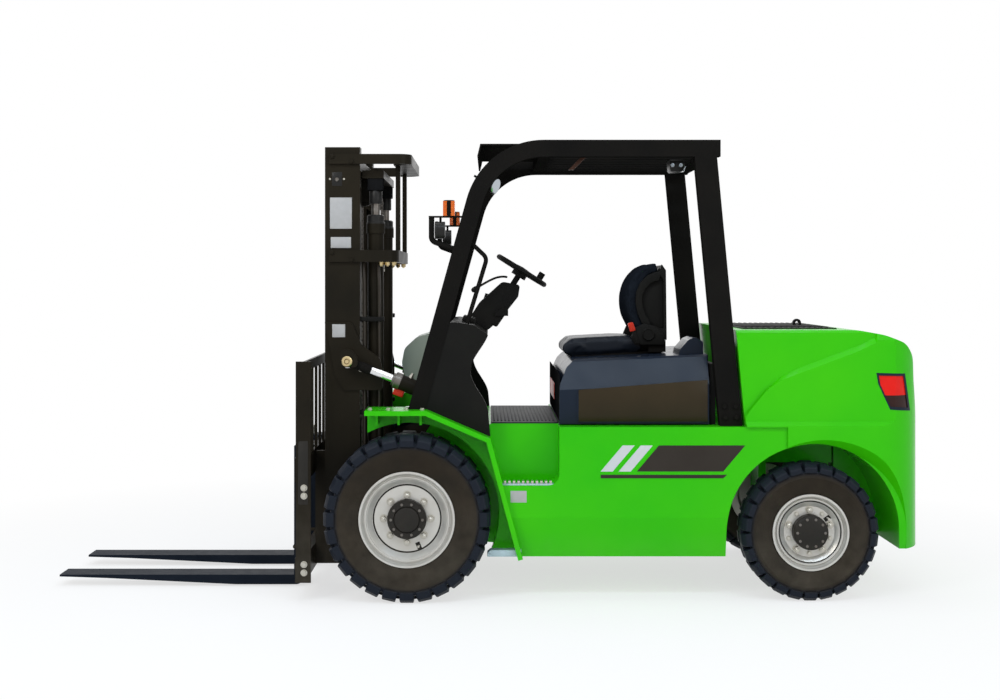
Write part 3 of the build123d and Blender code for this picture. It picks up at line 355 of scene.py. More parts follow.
# The brown of this mottle is a painted reflection on the black paint; the dust is road dust.
MAST_PAINT_AND_REFLECTION = Finish("mast_paint", (0.006, 0.006, 0.005), (0.026, 0.020, 0.012), 0.38, 0.12, 3.0, specular=0.05,
                    grain_scale=180.0, grain_depth=0.08, dust=0.3, dust_top=0.6)
FORK_PAINT = Finish("fork_paint", (0.006, 0.009, 0.015), (0.014, 0.018, 0.026), 0.46, 0.10, 6.0, specular=0.03,
                    grain_scale=180.0, grain_depth=0.08)
BLACK_PLASTIC = Finish("black_plastic", (0.008, 0.008, 0.008), (0.015, 0.014, 0.012), 0.48, 0.06, 6.0,
                       specular=0.04, grain_scale=700.0, grain_depth=0.18)
# Its blue tint is a painted reflection of the sky on the black plastic.
SKY_TINTED_GLOSS_PLASTIC = Finish("gloss_plastic", (0.009, 0.013, 0.022), (0.014, 0.022, 0.038), 0.22, 0.07, 2.0,
                       specular=0.10, grain_scale=420.0, grain_depth=0.02)
# Its brown is a painted reflection on the hood's black side panels.
BROWN_REFLECTION_PANEL = Finish("panel_gloss", (0.022, 0.016, 0.009), (0.052, 0.036, 0.018), 0.22, 0.07, 2.4, specular=0.10,
                     grain_scale=420.0, grain_depth=0.02)
RIM_PAINT = Finish("rim_paint", (0.64, 0.63, 0.60), (0.50, 0.47, 0.42), 0.32, 0.10, 9.0, 0.45,
                   grain_scale=260.0, dust=0.25, dust_top=0.7)
FRONT_RUBBER = TyreFinish("front_rubber", (0.009, 0.008, 0.006), (0.022, 0.014, 0.007), 0.48, 0.16, 7.0,
                          specular=0.10, grain=Grain.CAST, grain_scale=90.0, grain_depth=0.3, dust=0.3, dust_top=0.8,
                          axle=(AXLE_X, 0.413), rings=(0.262, 0.301, 0.332, 0.345), tread_from=0.352)
REAR_RUBBER = TyreFinish("rear_rubber", (0.009, 0.008, 0.006), (0.022, 0.014, 0.007), 0.48, 0.16, 7.0,
                         specular=0.10, grain=Grain.CAST, grain_scale=90.0, grain_depth=0.3, dust=0.3, dust_top=0.7,
                         axle=(AXLE_X - 2.0, 0.341), rings=(0.212, 0.242, 0.272, 0.282), tread_from=0.290)
CHROME = Finish("chrome", (0.78, 0.78, 0.78), (0.66, 0.67, 0.69), 0.10, 0.05, 6.0, 1.0,
                grain=Grain.BRUSHED, grain_depth=0.02)
OILED_STEEL = Finish("oiled_steel", (0.20, 0.19, 0.18), (0.10, 0.085, 0.07), 0.40, 0.10, 30.0, 0.9,
                     grain=Grain.BRUSHED, grain_scale=240.0, grain_depth=0.08)
ZINC = Finish("zinc", (0.55, 0.54, 0.50), (0.42, 0.40, 0.34), 0.36, 0.08, 60.0, 1.0,
              grain_scale=500.0)
TREAD_STEEL = Finish("tread_steel", (0.46, 0.60, 0.64), (0.36, 0.46, 0.50), 0.40, 0.08, 40.0, 0.4,
                     grain=Grain.BRUSHED)
CAST_IRON = Finish("cast_iron", (0.012, 0.012, 0.011), (0.030, 0.025, 0.020), 0.46, 0.12, 8.0, specular=0.14,
                   grain=Grain.CAST, grain_scale=150.0, grain_depth=0.3, dust=0.4, dust_top=0.3)
VINYL = Finish("seat_vinyl", (0.006, 0.008, 0.012), (0.012, 0.015, 0.022), 0.36, 0.08, 10.0, specular=0.12,
               grain=Grain.LEATHER, grain_scale=420.0, grain_depth=0.2)
MATT_VINYL = Finish("matt_vinyl", (0.008, 0.010, 0.014), (0.014, 0.017, 0.023), 0.60, 0.08, 10.0, specular=0.0,
                    grain=Grain.LEATHER, grain_scale=420.0, grain_depth=0.2)
MATT_BLACK = Finish("matt_black", (0.008, 0.008, 0.009), (0.014, 0.014, 0.014), 0.60, 0.08, 8.0, specular=0.0,
                    grain_scale=500.0, grain_depth=0.10)
MAT_RUBBER = Finish("mat_rubber", (0.012, 0.013, 0.015), (0.030, 0.030, 0.032), 0.56, 0.10, 12.0, specular=0.10,
                    grain=Grain.CAST, grain_scale=420.0, grain_depth=0.2)
AMBER_LENS = Finish("amber_lens", (0.80, 0.16, 0.010), (0.66, 0.10, 0.006), 0.14, 0.04, 20.0, coat=0.2,
                    specular=0.2, transmission=0.15, grain=Grain.RIBBED, grain_scale=60.0, grain_depth=0.35)
RED_LENS = Finish("red_lens", (0.86, 0.010, 0.004), (0.74, 0.006, 0.003), 0.12, 0.04, 20.0, coat=0.1,
                  specular=0.15, grain=Grain.RIBBED, grain_scale=45.0, grain_depth=0.25,
                  low_colour=(0.030, 0.008, 0.006), low_top=1.020)
LAMP_BODY = Finish("lamp_body", (0.012, 0.012, 0.012), (0.024, 0.022, 0.020), 0.32, 0.08, 20.0, specular=0.14,
                   grain_scale=500.0, grain_depth=0.08)
LAMP_GLASS = Finish("lamp_glass", (0.72, 0.76, 0.78), (0.62, 0.66, 0.70), 0.08, 0.03, 30.0, coat=0.8,
                    transmission=0.35, grain=Grain.RIBBED, grain_scale=70.0, grain_depth=0.3)
COVER_PLASTIC = Finish("cover_plastic", (0.30, 0.34, 0.27), (0.36, 0.39, 0.33), 0.42, 0.06, 5.0, specular=0.2,
                       grain_scale=600.0, grain_depth=0.10)
BATTERY_CASE = Finish("battery_case", (0.06, 0.06, 0.06), (0.09, 0.09, 0.085), 0.45, 0.08, 6.0,
                      grain_depth=0.06)
PALE_FILM = Finish("pale_film", (0.62, 0.64, 0.64), (0.56, 0.58, 0.59), 0.30, 0.05, 4.0, coat=0.3,
                   grain_depth=0.02)
DARK_FILM = Finish("dark_film", (0.026, 0.020, 0.016), (0.040, 0.032, 0.026), 0.30, 0.05, 4.0, specular=0.14,
                   grain_depth=0.02)
WHITE_PLATE = Finish("white_plate", (0.46, 0.45, 0.45), (0.38, 0.37, 0.36), 0.40, 0.08, 40.0,
                     grain_depth=0.03)
RED_PLASTIC = Finish("red_plastic", (0.62, 0.030, 0.010), (0.50, 0.022, 0.008), 0.36, 0.06, 30.0, specular=0.2,
                     grain_scale=500.0, grain_depth=0.06)
BROWN_PAINT = Finish("brown_paint", (0.060, 0.026, 0.016), (0.040, 0.018, 0.012), 0.46, 0.06, 20.0, specular=0.12,
                     grain_scale=400.0, grain_depth=0.06)
BRASS = Finish("brass", (0.66, 0.54, 0.30), (0.48, 0.37, 0.20), 0.30, 0.08, 50.0, 1.0,
               grain_scale=500.0)
# Brown mottle of the rubber: partly its own tone, partly a painted highlight.
HOSE_RUBBER_AND_HIGHLIGHT = Finish("hose_rubber", (0.016, 0.013, 0.010), (0.034, 0.026, 0.017), 0.36, 0.08, 30.0, specular=0.3,
                     grain=Grain.LEATHER, grain_scale=500.0, grain_depth=0.10)
MIRROR_GLASS = Finish("mirror_glass", (0.50, 0.54, 0.58), (0.40, 0.44, 0.48), 0.08, 0.03, 10.0, 1.0,
                      grain_scale=100.0, grain_depth=0.0)

FINISH_OF_SLOT: dict[str, Finish] = {
    "green_paint": GREEN_PAINT_AND_REFLECTION, "black_paint": BLACK_PAINT, "mast_paint": MAST_PAINT_AND_REFLECTION,
    "black_plastic": BLACK_PLASTIC, "gloss_plastic": SKY_TINTED_GLOSS_PLASTIC, "rim_paint": RIM_PAINT,
    "tyre": FRONT_RUBBER, "chrome": CHROME, "steel": OILED_STEEL, "cast": CAST_IRON, "vinyl": VINYL,
    "mat_rubber": MAT_RUBBER, "amber_lens": AMBER_LENS, "red_lens": RED_LENS, "lamp_body": LAMP_BODY,
    "battery_case": BATTERY_CASE, "cover_plastic": COVER_PLASTIC,
}
FINISH_OF_NODE: dict[str, Finish] = {
    "forks": FORK_PAINT, "lift_rods": OILED_STEEL, "rear_tyre_left": REAR_RUBBER, "rear_tyre_right": REAR_RUBBER,
}


def meshed(name: str, shape: Shape, set_at: Matrix | None = None) -> bpy.types.Mesh:
    """Turns a shape into a mesh whose faces point outwards.

    Args:
        name: Mesh's name.
        shape: Shape to use up.
        set_at: Where it goes, when it was built at the origin.

    Returns:
        The mesh.
    """
    if set_at is not None:
        bmesh.ops.transform(shape, matrix=set_at, verts=shape.verts)
    bmesh.ops.remove_doubles(shape, verts=shape.verts, dist=1e-6)
    bmesh.ops.recalc_face_normals(shape, faces=shape.faces)
    mesh = bpy.data.meshes.new(name)
    shape.to_mesh(mesh)
    shape.free()
    return mesh


def piece(mesh: bpy.types.Mesh, finish: Finish, body: str, smooth: float = 35.0) -> bpy.types.Object:
    """Adds a finished mesh to the truck.

    Args:
        mesh: Mesh in the frame, which gives the piece its name.
        finish: Its surface.
        body: Body that it rides.
        smooth: Edges that turn less than so many degrees are shaded smooth.

    Returns:
        The piece.
    """
    mesh.materials.clear()
    mesh.materials.append(finish.material())
    mesh.shade_smooth()
    mesh.set_sharp_from_angle(angle=math.radians(smooth))
    made = bpy.data.objects.new(mesh.name, mesh)
    bpy.context.scene.collection.objects.link(made)
    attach(made, body)
    log.info("%s rides %s with %d faces", made.name, body, len(mesh.polygons))
    return made


def merged(*shapes: Shape) -> Shape:
    """Joins shapes into the first of them.

    Args:
        shapes: Shapes to join; all but the first are used up.

    Returns:
        The first shape.
    """
    for other in shapes[1:]:
        carrier = bpy.data.meshes.new("carrier")
        other.to_mesh(carrier)
        other.free()
        shapes[0].from_mesh(carrier)
        bpy.data.meshes.remove(carrier)
    return shapes[0]


def lathe(profile: Sequence[Point2], segments: int = 40) -> Shape:
    """Turns a closed outline round +Z.

    Args:
        profile: (radius, height) points in millimetres.
        segments: Faces round the axis.

    Returns:
        The turned shape.
    """
    shape = bmesh.new()
    rings = []
    for radius, height in profile:
        steps = 1 if radius < 1e-4 else segments
        angles = [2.0 * math.pi * i / steps for i in range(steps)]
        rings.append([shape.verts.new((radius * math.cos(a) / MM, radius * math.sin(a) / MM,
                                       height / MM)) for a in angles])
    for low, high in zip(rings, rings[1:] + rings[:1]):
        for i in range(segments if len(low) + len(high) > 2 else 0):
            j = (i + 1) % segments
            corners = [low[i % len(low)], low[j % len(low)], high[j % len(high)], high[i % len(high)]]
            shape.faces.new(list(dict.fromkeys(corners)))
    return shape


def walled(shape: Shape, low: Sequence[bmesh.types.BMVert], high: Sequence[bmesh.types.BMVert]) -> None:
    """Closes the gap between two rings of as many corners.

    Args:
        shape: Shape that the corners are in.
        low: First ring.
        high: Other ring.
    """
    for i, corner in enumerate(low):
        j = (i + 1) % len(low)
        shape.faces.new((corner, low[j], high[j], high[i]))


def prism(outline: Sequence[Point2], near: float, far: float, bevel: float = 0.0, steps: int = 2) -> Shape:
    """Draws a side-view outline out across the truck.

    Args:
        outline: (station, height) corners in millimetres.
        near: First offset to the left, in millimetres.
        far: Other offset.
        bevel: Rounding of its edges.
        steps: Faces across the rounding.

    Returns:
        The drawn-out shape.
    """
    shape = bmesh.new()
    ends = [[shape.verts.new(place(u, y, z)) for u, z in outline] for y in (near, far)]
    for end in ends:
        shape.faces.new(end)
    walled(shape, *ends)
    if bevel:
        bmesh.ops.bevel(shape, geom=shape.edges[:], offset=bevel / MM, segments=steps, profile=0.5,
                        affect="EDGES", clamp_overlap=True)
    return shape


def oblong(first: Point2, last: Point2) -> list[Point2]:
    """Returns the corners of an upright rectangle between two opposite ones."""
    return [first, (last[0], first[1]), last, (first[0], last[1])]


def slab(size: Point3, bevel: float) -> Shape:
    """Block with rounded edges, standing on the origin.

    Args:
        size: Its edges along X, Y and Z, in millimetres.
        bevel: Rounding.

    Returns:
        The block.
    """
    shape = bmesh.new()
    bmesh.ops.create_cube(shape, size=1.0)
    bmesh.ops.scale(shape, vec=[s / MM for s in size], verts=shape.verts)
    bmesh.ops.translate(shape, vec=(0, 0, size[2] / 2.0 / MM), verts=shape.verts)
    bmesh.ops.bevel(shape, geom=shape.edges[:], offset=bevel / MM, segments=2, profile=0.5, affect="EDGES")
    return shape


def pipe(name: str, points: Sequence[Vector], radius: float) -> bpy.types.Mesh:
    """Bent tube with closed ends.

    Args:
        name: Mesh's name.
        points: Points that its middle bends past, in the frame.
        radius: Its radius in millimetres.

    Returns:
        The tube's mesh.
    """
    curve = bpy.data.curves.new(name, "CURVE")
    curve.dimensions = "3D"
    curve.bevel_depth = radius / MM
    curve.bevel_resolution = 3
    curve.use_fill_caps = True
    spline = curve.splines.new("NURBS")
    spline.points.add(len(points) - 1)
    for knot, point in zip(spline.points, points):
        knot.co = (*point, 1.0)
    spline.order_u = 3
    spline.use_endpoint_u = True
    spline.resolution_u = 6
    mesh = baked(name, bpy.data.objects.new(name, curve))
    bpy.data.curves.remove(curve)
    return mesh


def baked(name: str, host: bpy.types.Object) -> bpy.types.Mesh:
    """Evaluates an object and takes it away again.

    Args:
        name: Name of the mesh.
        host: Object that isn't in the scene yet; it is used up.

    Returns:
        The evaluated mesh.
    """
    bpy.context.scene.collection.objects.link(host)
    graph = bpy.context.evaluated_depsgraph_get()
    mesh = bpy.data.meshes.new_from_object(host.evaluated_get(graph), depsgraph=graph)
    mesh.name = name
    bpy.data.objects.remove(host)
    return mesh


def hex_bolt(across: float, height: float, washer: float = 0.0) -> Shape:
    """Hexagon head on a washer, along +Z.

    Args:
        across: Width over its corners, in millimetres.
        height: Height of the head.
        washer: Washer's width, or 0 for none.

    Returns:
        The bolt's shape.
    """
    radius = across / 2.0
    seat = 0.22 * height if washer else 0.0
    head = lathe([(0, 0), (radius, 0), (radius, seat + 0.85 * height), (0.86 * radius, seat + height),
                  (0, seat + height)], 6)
    if not washer:
        return head
    return merged(head, lathe([(0, 0), (washer / 2.0, 0), (washer / 2.0, seat), (0, seat)], 14))


def stud_nut(across: float, height: float) -> Shape:
    """Wheel nut with the end of its stud, along +Z.

    Args:
        across: Width over its corners, in millimetres.
        height: Height of the nut.

    Returns:
        The nut's shape.
    """
    stud = 0.25 * across
    return merged(hex_bolt(across, height, 1.25 * across),
                  lathe([(0, height), (stud, height), (stud, 1.5 * height), (0.7 * stud, 1.6 * height),
                         (0, 1.6 * height)], 10))


def rivet(radius: float) -> Shape:
    """Low round head along +Z, of a radius in millimetres."""
    return lathe([(0, 0), (radius, 0), (0.8 * radius, 0.4 * radius), (0, 0.55 * radius)], 10)


class Layout(Enum):
    """How a repeated item is set out."""

    RING = "ring"
    ROW = "row"
    PATH = "path"
    SPOTS = "spots"


class Repeater(Graph):
    """Geometry Nodes tree that sets copies of one item in a ring, in a row, along a path or on spots."""

    SIZES: dict[Layout, dict[str, str]] = {
        Layout.RING: {"Count": "NodeSocketInt", "Radius": "NodeSocketFloat", "Turn": "NodeSocketFloat"},
        Layout.ROW: {"Count": "NodeSocketInt", "Start": "NodeSocketVector", "Step": "NodeSocketVector"},
        Layout.PATH: {"Count": "NodeSocketInt"},
        Layout.SPOTS: {"Seed": "NodeSocketInt"},
    }
    SPIN: float = 6.0  # radians that a chance turn may come to

    def __init__(self, layout: Layout) -> None:
        """Builds the tree.

        Args:
            layout: How the copies are set out.
        """
        super().__init__(bpy.data.node_groups.new(f"{layout.value}_of_items", "GeometryNodeTree"))
        face = self.tree.interface
        sockets = {"Base": "NodeSocketGeometry", "Item": "NodeSocketObject", "Finish": "NodeSocketMaterial"}
        self.keys = {name: face.new_socket(name=name, in_out="INPUT", socket_type=kind).identifier
                     for name, kind in (sockets | self.SIZES[layout]).items()}
        face.new_socket(name="Copies", in_out="OUTPUT", socket_type="NodeSocketGeometry")
        self.entry = self.add("NodeGroupInput").outputs
        points, turn = getattr(self, f"_{layout.value}")()
        item = self.add("GeometryNodeObjectInfo", Object=self.entry["Item"])
        copies = self.add("GeometryNodeInstanceOnPoints", Points=points, Instance=item.outputs["Geometry"],
                          Rotation=turn)
        solid = self.add("GeometryNodeRealizeInstances", Geometry=copies.outputs["Instances"])
        done = self.add("GeometryNodeSetMaterial", Geometry=solid.outputs["Geometry"], Material=self.entry["Finish"])
        self.add("NodeGroupOutput", Copies=done.outputs["Geometry"])

    def _ring(self) -> tuple[Socket, Socket]:
        """Sets points round +Z.

        Returns:
            The points and each one's turn.
        """
        circle = self.add("GeometryNodeMeshCircle", Vertices=self.entry["Count"], Radius=self.entry["Radius"])
        step = self.calc("DIVIDE", 2.0 * math.pi, self.entry["Count"])
        angle = self.calc("MULTIPLY", step, self.add("GeometryNodeInputIndex").outputs["Index"])
        total = self.calc("ADD", angle, self.entry["Turn"])
        return circle.outputs["Mesh"], self.add("ShaderNodeCombineXYZ", Z=total).outputs["Vector"]

    def _row(self) -> tuple[Socket, None]:
        """Sets points along a line.

        Returns:
            The points, and no turn.
        """
        line = self.add("GeometryNodeMeshLine", Count=self.entry["Count"], Start_Location=self.entry["Start"],
                        Offset=self.entry["Step"])
        return line.outputs["Mesh"], None

    def _path(self) -> tuple[Socket, Socket]:
        """Sets points along the base curve.

        Returns:
            The points, and turns that keep X on the curve and Y across the truck.
        """
        even = self.add("GeometryNodeResampleCurve", Curve=self.entry["Base"], Count=self.entry["Count"])
        along = self.add("FunctionNodeAlignRotationToVector", axis="X", pivot_axis="Y",
                         Vector=self.add("GeometryNodeInputTangent").outputs["Tangent"])
        return even.outputs["Curve"], along.outputs["Rotation"]

    def _spots(self) -> tuple[Socket, Socket]:
        """Takes the base's points.

        Returns:
            The points, and turns that face as each says, spun by chance round that.
        """
        out = self.add("GeometryNodeInputNamedAttribute", data_type="FLOAT_VECTOR", Name="facing")
        up = self.add("FunctionNodeAlignRotationToVector", axis="Z", Vector=out.outputs["Attribute"])
        chance = self.add("FunctionNodeRandomValue", Seed=self.entry["Seed"])
        spin = self.add("ShaderNodeCombineXYZ", Z=self.calc("MULTIPLY", chance.outputs["Value"], self.SPIN))
        both = self.add("FunctionNodeRotateRotation", rotation_space="LOCAL", Rotation=up.outputs["Rotation"],
                        Rotate_By=spin.outputs["Vector"])
        points = self.add("GeometryNodeMeshToPoints", Mesh=self.entry["Base"])
        return points.outputs["Points"], both.outputs["Rotation"]

    def bake(self, name: str, item: Shape, finish: Finish, base: bpy.types.ID | None = None,
             set_at: Matrix | None = None, **sizes: Any) -> bpy.types.Mesh:
        """Sets the copies out as one plain mesh.

        Args:
            name: Name of the mesh.
            item: Shape to repeat; it is used up.
            finish: Its surface.
            base: Mesh or curve to follow, when the layout has one.
            set_at: Where a ring or row goes, in the frame.
            sizes: The layout's inputs by name.

        Returns:
            The mesh.
        """
        pattern = bpy.data.objects.new(f"{name}_item", meshed(f"{name}_item", item))
        bpy.context.scene.collection.objects.link(pattern)
        host = bpy.data.objects.new(name, base or bpy.data.meshes.new(f"{name}_base"))
        nodes = host.modifiers.new("copies", "NODES")
        nodes.node_group = self.tree
        for key, value in {"Item": pattern, "Finish": finish.material(), **sizes}.items():
            nodes[self.keys[key]] = value
        mesh = baked(name, host)
        bpy.data.objects.remove(pattern)
        if set_at is not None:
            mesh.transform(set_at)
        return mesh

    def lay(self, name: str, item: Shape, finish: Finish, body: str, smooth: float = 25.0,
            **how: Any) -> bpy.types.Object:
        """Sets the copies out as one piece.

        Args:
            name: Piece's name.
            item: Shape to repeat; it is used up.
            finish: Its surface.
            body: Body that it rides.
            smooth: Edges that turn less than so many degrees are shaded smooth.
            how: Base, place and sizes, as bake takes them.

        Returns:
            The piece.
        """
        return piece(self.bake(name, item, finish, **how), finish, body, smooth)


class Toolbox:
    """The repeaters, made once and shared by the sub-assemblies."""

    def __init__(self) -> None:
        """Builds one tree for each layout."""
        self.ring, self.row, self.path, self.spots = (Repeater(layout) for layout in Layout)

    def dots(self, name: str, body: str, places: Sequence[tuple[Vector, Vector]], item: Shape, finish: Finish,
             seed: int, smooth: float = 35.0) -> None:
        """Sets copies of an item on spots.

        Args:
            name: Piece's name.
            body: Body that carries them.
            places: Each one's point and the way it faces.
            item: Shape to repeat; it is used up.
            finish: Its surface.
            seed: Seed of their chance turns.
            smooth: Edges that turn less than so many degrees are shaded smooth.
        """
        base = bpy.data.meshes.new(f"{name}_spots")
        base.from_pydata([p for p, _ in places], [], [])
        way = base.attributes.new("facing", "FLOAT_VECTOR", "POINT")
        for i, (_, axis) in enumerate(places):
            way.data[i].vector = axis
        self.spots.lay(name, item, finish, body, smooth, base=base, Seed=seed)

    def bolts(self, name: str, body: str, places: Sequence[tuple[Vector, Vector]], across: float, height: float,
              finish: Finish, washer: float = 0.0) -> None:
        """Sets bolts on spots.

        Args:
            name: Piece's name.
            body: Body that carries them.
            places: Each one's point and the way it faces.
            across: Width over the corners of a head, in millimetres.
            height: Height of a head.
            finish: Their surface.
            washer: Washer's width, or 0 for none.
        """
        self.dots(name, body, places, hex_bolt(across, height, washer), finish, 7, 25.0)


def looked_at(graph: Graph) -> Socket:
    """Adds what tells rays that look at the background from those that light the truck.

    Args:
        graph: Tree of a material or world.

    Returns:
        Socket that is 1 for camera, glossy and transmission rays.
    """
    rays = graph.add("ShaderNodeLightPath").outputs
    seen = graph.calc("MAXIMUM", rays["Is Camera Ray"], rays["Is Glossy Ray"])
    return graph.calc("MAXIMUM", seen, rays["Is Transmission Ray"])


@dataclass
class Studio:
    """Floor, light and camera of the photograph."""

    floor_reach: float = 40.0
    floor_grey: float = 0.95
    shadow_reach: Point2 = (1.6, 4.2)
    shadow_lift: float = 0.66
    ambient: Colour = (0.90, 0.95, 1.0)
    ambient_strength: float = 0.42
    aim: Point3 = (0.0, 0.0, 0.9)
    camera_at: Point3 = (-0.030, 7.5, 1.583)
    sensor: float = 36.0
    lens: float = 49.57
    shift: Point2 = (0.010, -0.068)

    def build(self) -> None:
        """Makes the floor, the lamps, the world and the camera."""
        self._floor()
        self._world()
        self._lamp("sky", (-0.3, 4.6, 6.2), (9.0, 0.7), 210.0, (0.72, 0.86, 1.0))
        self._lamp("key", (4.0, 5.5, 4.6), (2.0, 2.6), 120.0, (1.0, 0.97, 0.92))
        self._lamp("fill", (-5.0, 5.0, 3.0), (3.0, 3.0), 70.0, (1.0, 0.98, 0.95))
        self._lamp("top", (0.0, 0.0, 7.0), (6.0, 2.0), 120.0, (0.92, 0.96, 1.0))
        self._lamp("back", (0.5, -6.0, 4.5), (5.0, 5.0), 70.0, (1.0, 1.0, 1.0))
        self._camera()
        bpy.context.scene.view_settings.view_transform = "Standard"

    def _floor(self) -> None:
        """Lays a pale floor that keeps the truck's shadow."""
        far = self.floor_reach
        mesh = bpy.data.meshes.new("floor")
        mesh.from_pydata([(-far, -far, 0), (far, -far, 0), (far, far, 0), (-far, far, 0)], [], [(0, 1, 2, 3)])
        floor = bpy.data.objects.new("floor", mesh)
        bpy.context.scene.collection.objects.link(floor)
        pale = bpy.data.materials.new("pale_floor")
        pale.use_nodes = True
        graph = Graph(pale.node_tree)
        graph.tree.nodes.clear()
        matt = graph.add("ShaderNodeBsdfDiffuse", Color=(*[self.floor_grey] * 3, 1.0))
        white = graph.add("ShaderNodeEmission", Color=WHITE)
        away = graph.add("ShaderNodeVectorMath", graph.coords, operation="LENGTH").outputs["Value"]
        near, clear = self.shadow_reach
        fade = graph.ranged(away, From_Min=near, From_Max=clear, To_Min=self.shadow_lift)
        mix = graph.add("ShaderNodeMixShader", graph.calc("MULTIPLY", fade, looked_at(graph)), matt.outputs["BSDF"],
                        white.outputs["Emission"])
        graph.add("ShaderNodeOutputMaterial", Surface=mix.outputs["Shader"])
        mesh.materials.append(pale)

    def _world(self) -> None:
        """Lights the scene evenly, with a white background for what looks at it."""
        world = bpy.data.worlds.new("studio")
        bpy.context.scene.world = world
        world.use_nodes = True
        graph = Graph(world.node_tree)
        graph.tree.nodes.clear()
        dim = graph.add("ShaderNodeBackground", Color=(*self.ambient, 1.0), Strength=self.ambient_strength)
        white = graph.add("ShaderNodeBackground", Color=WHITE)
        mix = graph.add("ShaderNodeMixShader", looked_at(graph), dim.outputs["Background"],
                        white.outputs["Background"])
        graph.add("ShaderNodeOutputWorld", Surface=mix.outputs["Shader"])

    def _lamp(self, name: str, spot: Point3, size: Point2, power: float, colour: Colour) -> None:
        """Hangs one soft lamp that points at the truck.

        Args:
            name: Lamp's name.
            spot: Where it hangs, in metres.
            size: Edges of its rectangle.
            power: Watts.
            colour: Its light's colour.
        """
        data = bpy.data.lights.new(name, "AREA")
        data.shape = "RECTANGLE"
        data.size, data.size_y = size
        data.energy = power
        data.color = colour
        lamp = bpy.data.objects.new(name, data)
        lamp.location = spot
        lamp.rotation_euler = (Vector(self.aim) - Vector(spot)).to_track_quat("-Z", "Y").to_euler()
        bpy.context.scene.collection.objects.link(lamp)

    def _camera(self) -> None:
        """Stands the camera where the photograph was taken, square to the truck's left side."""
        data = bpy.data.cameras.new("camera")
        data.sensor_width = self.sensor
        data.lens = self.lens
        data.shift_x, data.shift_y = self.shift
        camera = bpy.data.objects.new("camera", data)
        camera.location = self.camera_at
        camera.rotation_euler = (-LEFT).to_track_quat("-Z", "Y").to_euler()
        bpy.context.scene.collection.objects.link(camera)
        bpy.context.scene.camera = camera


class PaintShop:
    """Gives each solid of the truck its finish."""

    def dress(self) -> None:
        """Finishes every node by its own finish or its material slot's."""
        for part in frame["record"]["subparts"]:
            node = frame["nodes"][part["node"]]
            node.data.materials.clear()
            finish = FINISH_OF_NODE.get(part["node"], FINISH_OF_SLOT[part["material_slot"]])
            node.data.materials.append(finish.material())
            log.info("%s finished as %s", part["node"], part["material_slot"])


@dataclass
class Dressing:
    """Sub-assembly that sets its repeated items out with the shared repeaters."""

    tools: Toolbox


@dataclass(frozen=True)
class Tread:
    """Sizes of a lugged tyre, in millimetres."""

    radius: float
    half: float
    bore: float
    lugs: int
    finish: TyreFinish

    def carcass(self) -> Shape:
        """Builds the body of the tyre, with a ledge for the lugs to stand on.

        Returns:
            The body, round +Z.
        """
        r, h, bore = self.radius, self.half, self.bore
        side = [(bore, h - 16), (0.65 * bore + 0.35 * (r - 46), h), (0.80 * r, h), (0.845 * r, h - 9),
                (r - 39, h - 12), (r - 34, h - 22), (r - 34, 0.35 * h), (r - 2, 0.32 * h)]
        return lathe([(a, -b) for a, b in side] + side[::-1], 4 * self.lugs)

    def lug(self) -> Shape:
        """Builds the pair of lugs of one station.

        Returns:
            The pair, with X outwards from the tread.
        """
        pitch = 2.0 * math.pi * self.radius / self.lugs
        low, deep = 0.367 * pitch, 0.394 * pitch
        base, inside, h = -0.138 * self.radius, 0.28 * self.half, self.half
        corners = [(0, low, inside), (0, low, h - 30), (-20, low + 1, h), (base, deep, h), (base, deep, inside)]
        both = []
        for turn in SIDES.values():
            shape = bmesh.new()
            for x, y, z in corners:
                for flip in (y, -y):
                    shape.verts.new((x / MM, flip / MM, turn * z / MM))
            bmesh.ops.convex_hull(shape, input=shape.verts)
            bmesh.ops.dissolve_limit(shape, angle_limit=0.02, verts=shape.verts, edges=shape.edges)
            bmesh.ops.bevel(shape, geom=shape.edges, offset=0.004, segments=1, affect="EDGES")
            both.append(shape)
        return merged(*both)


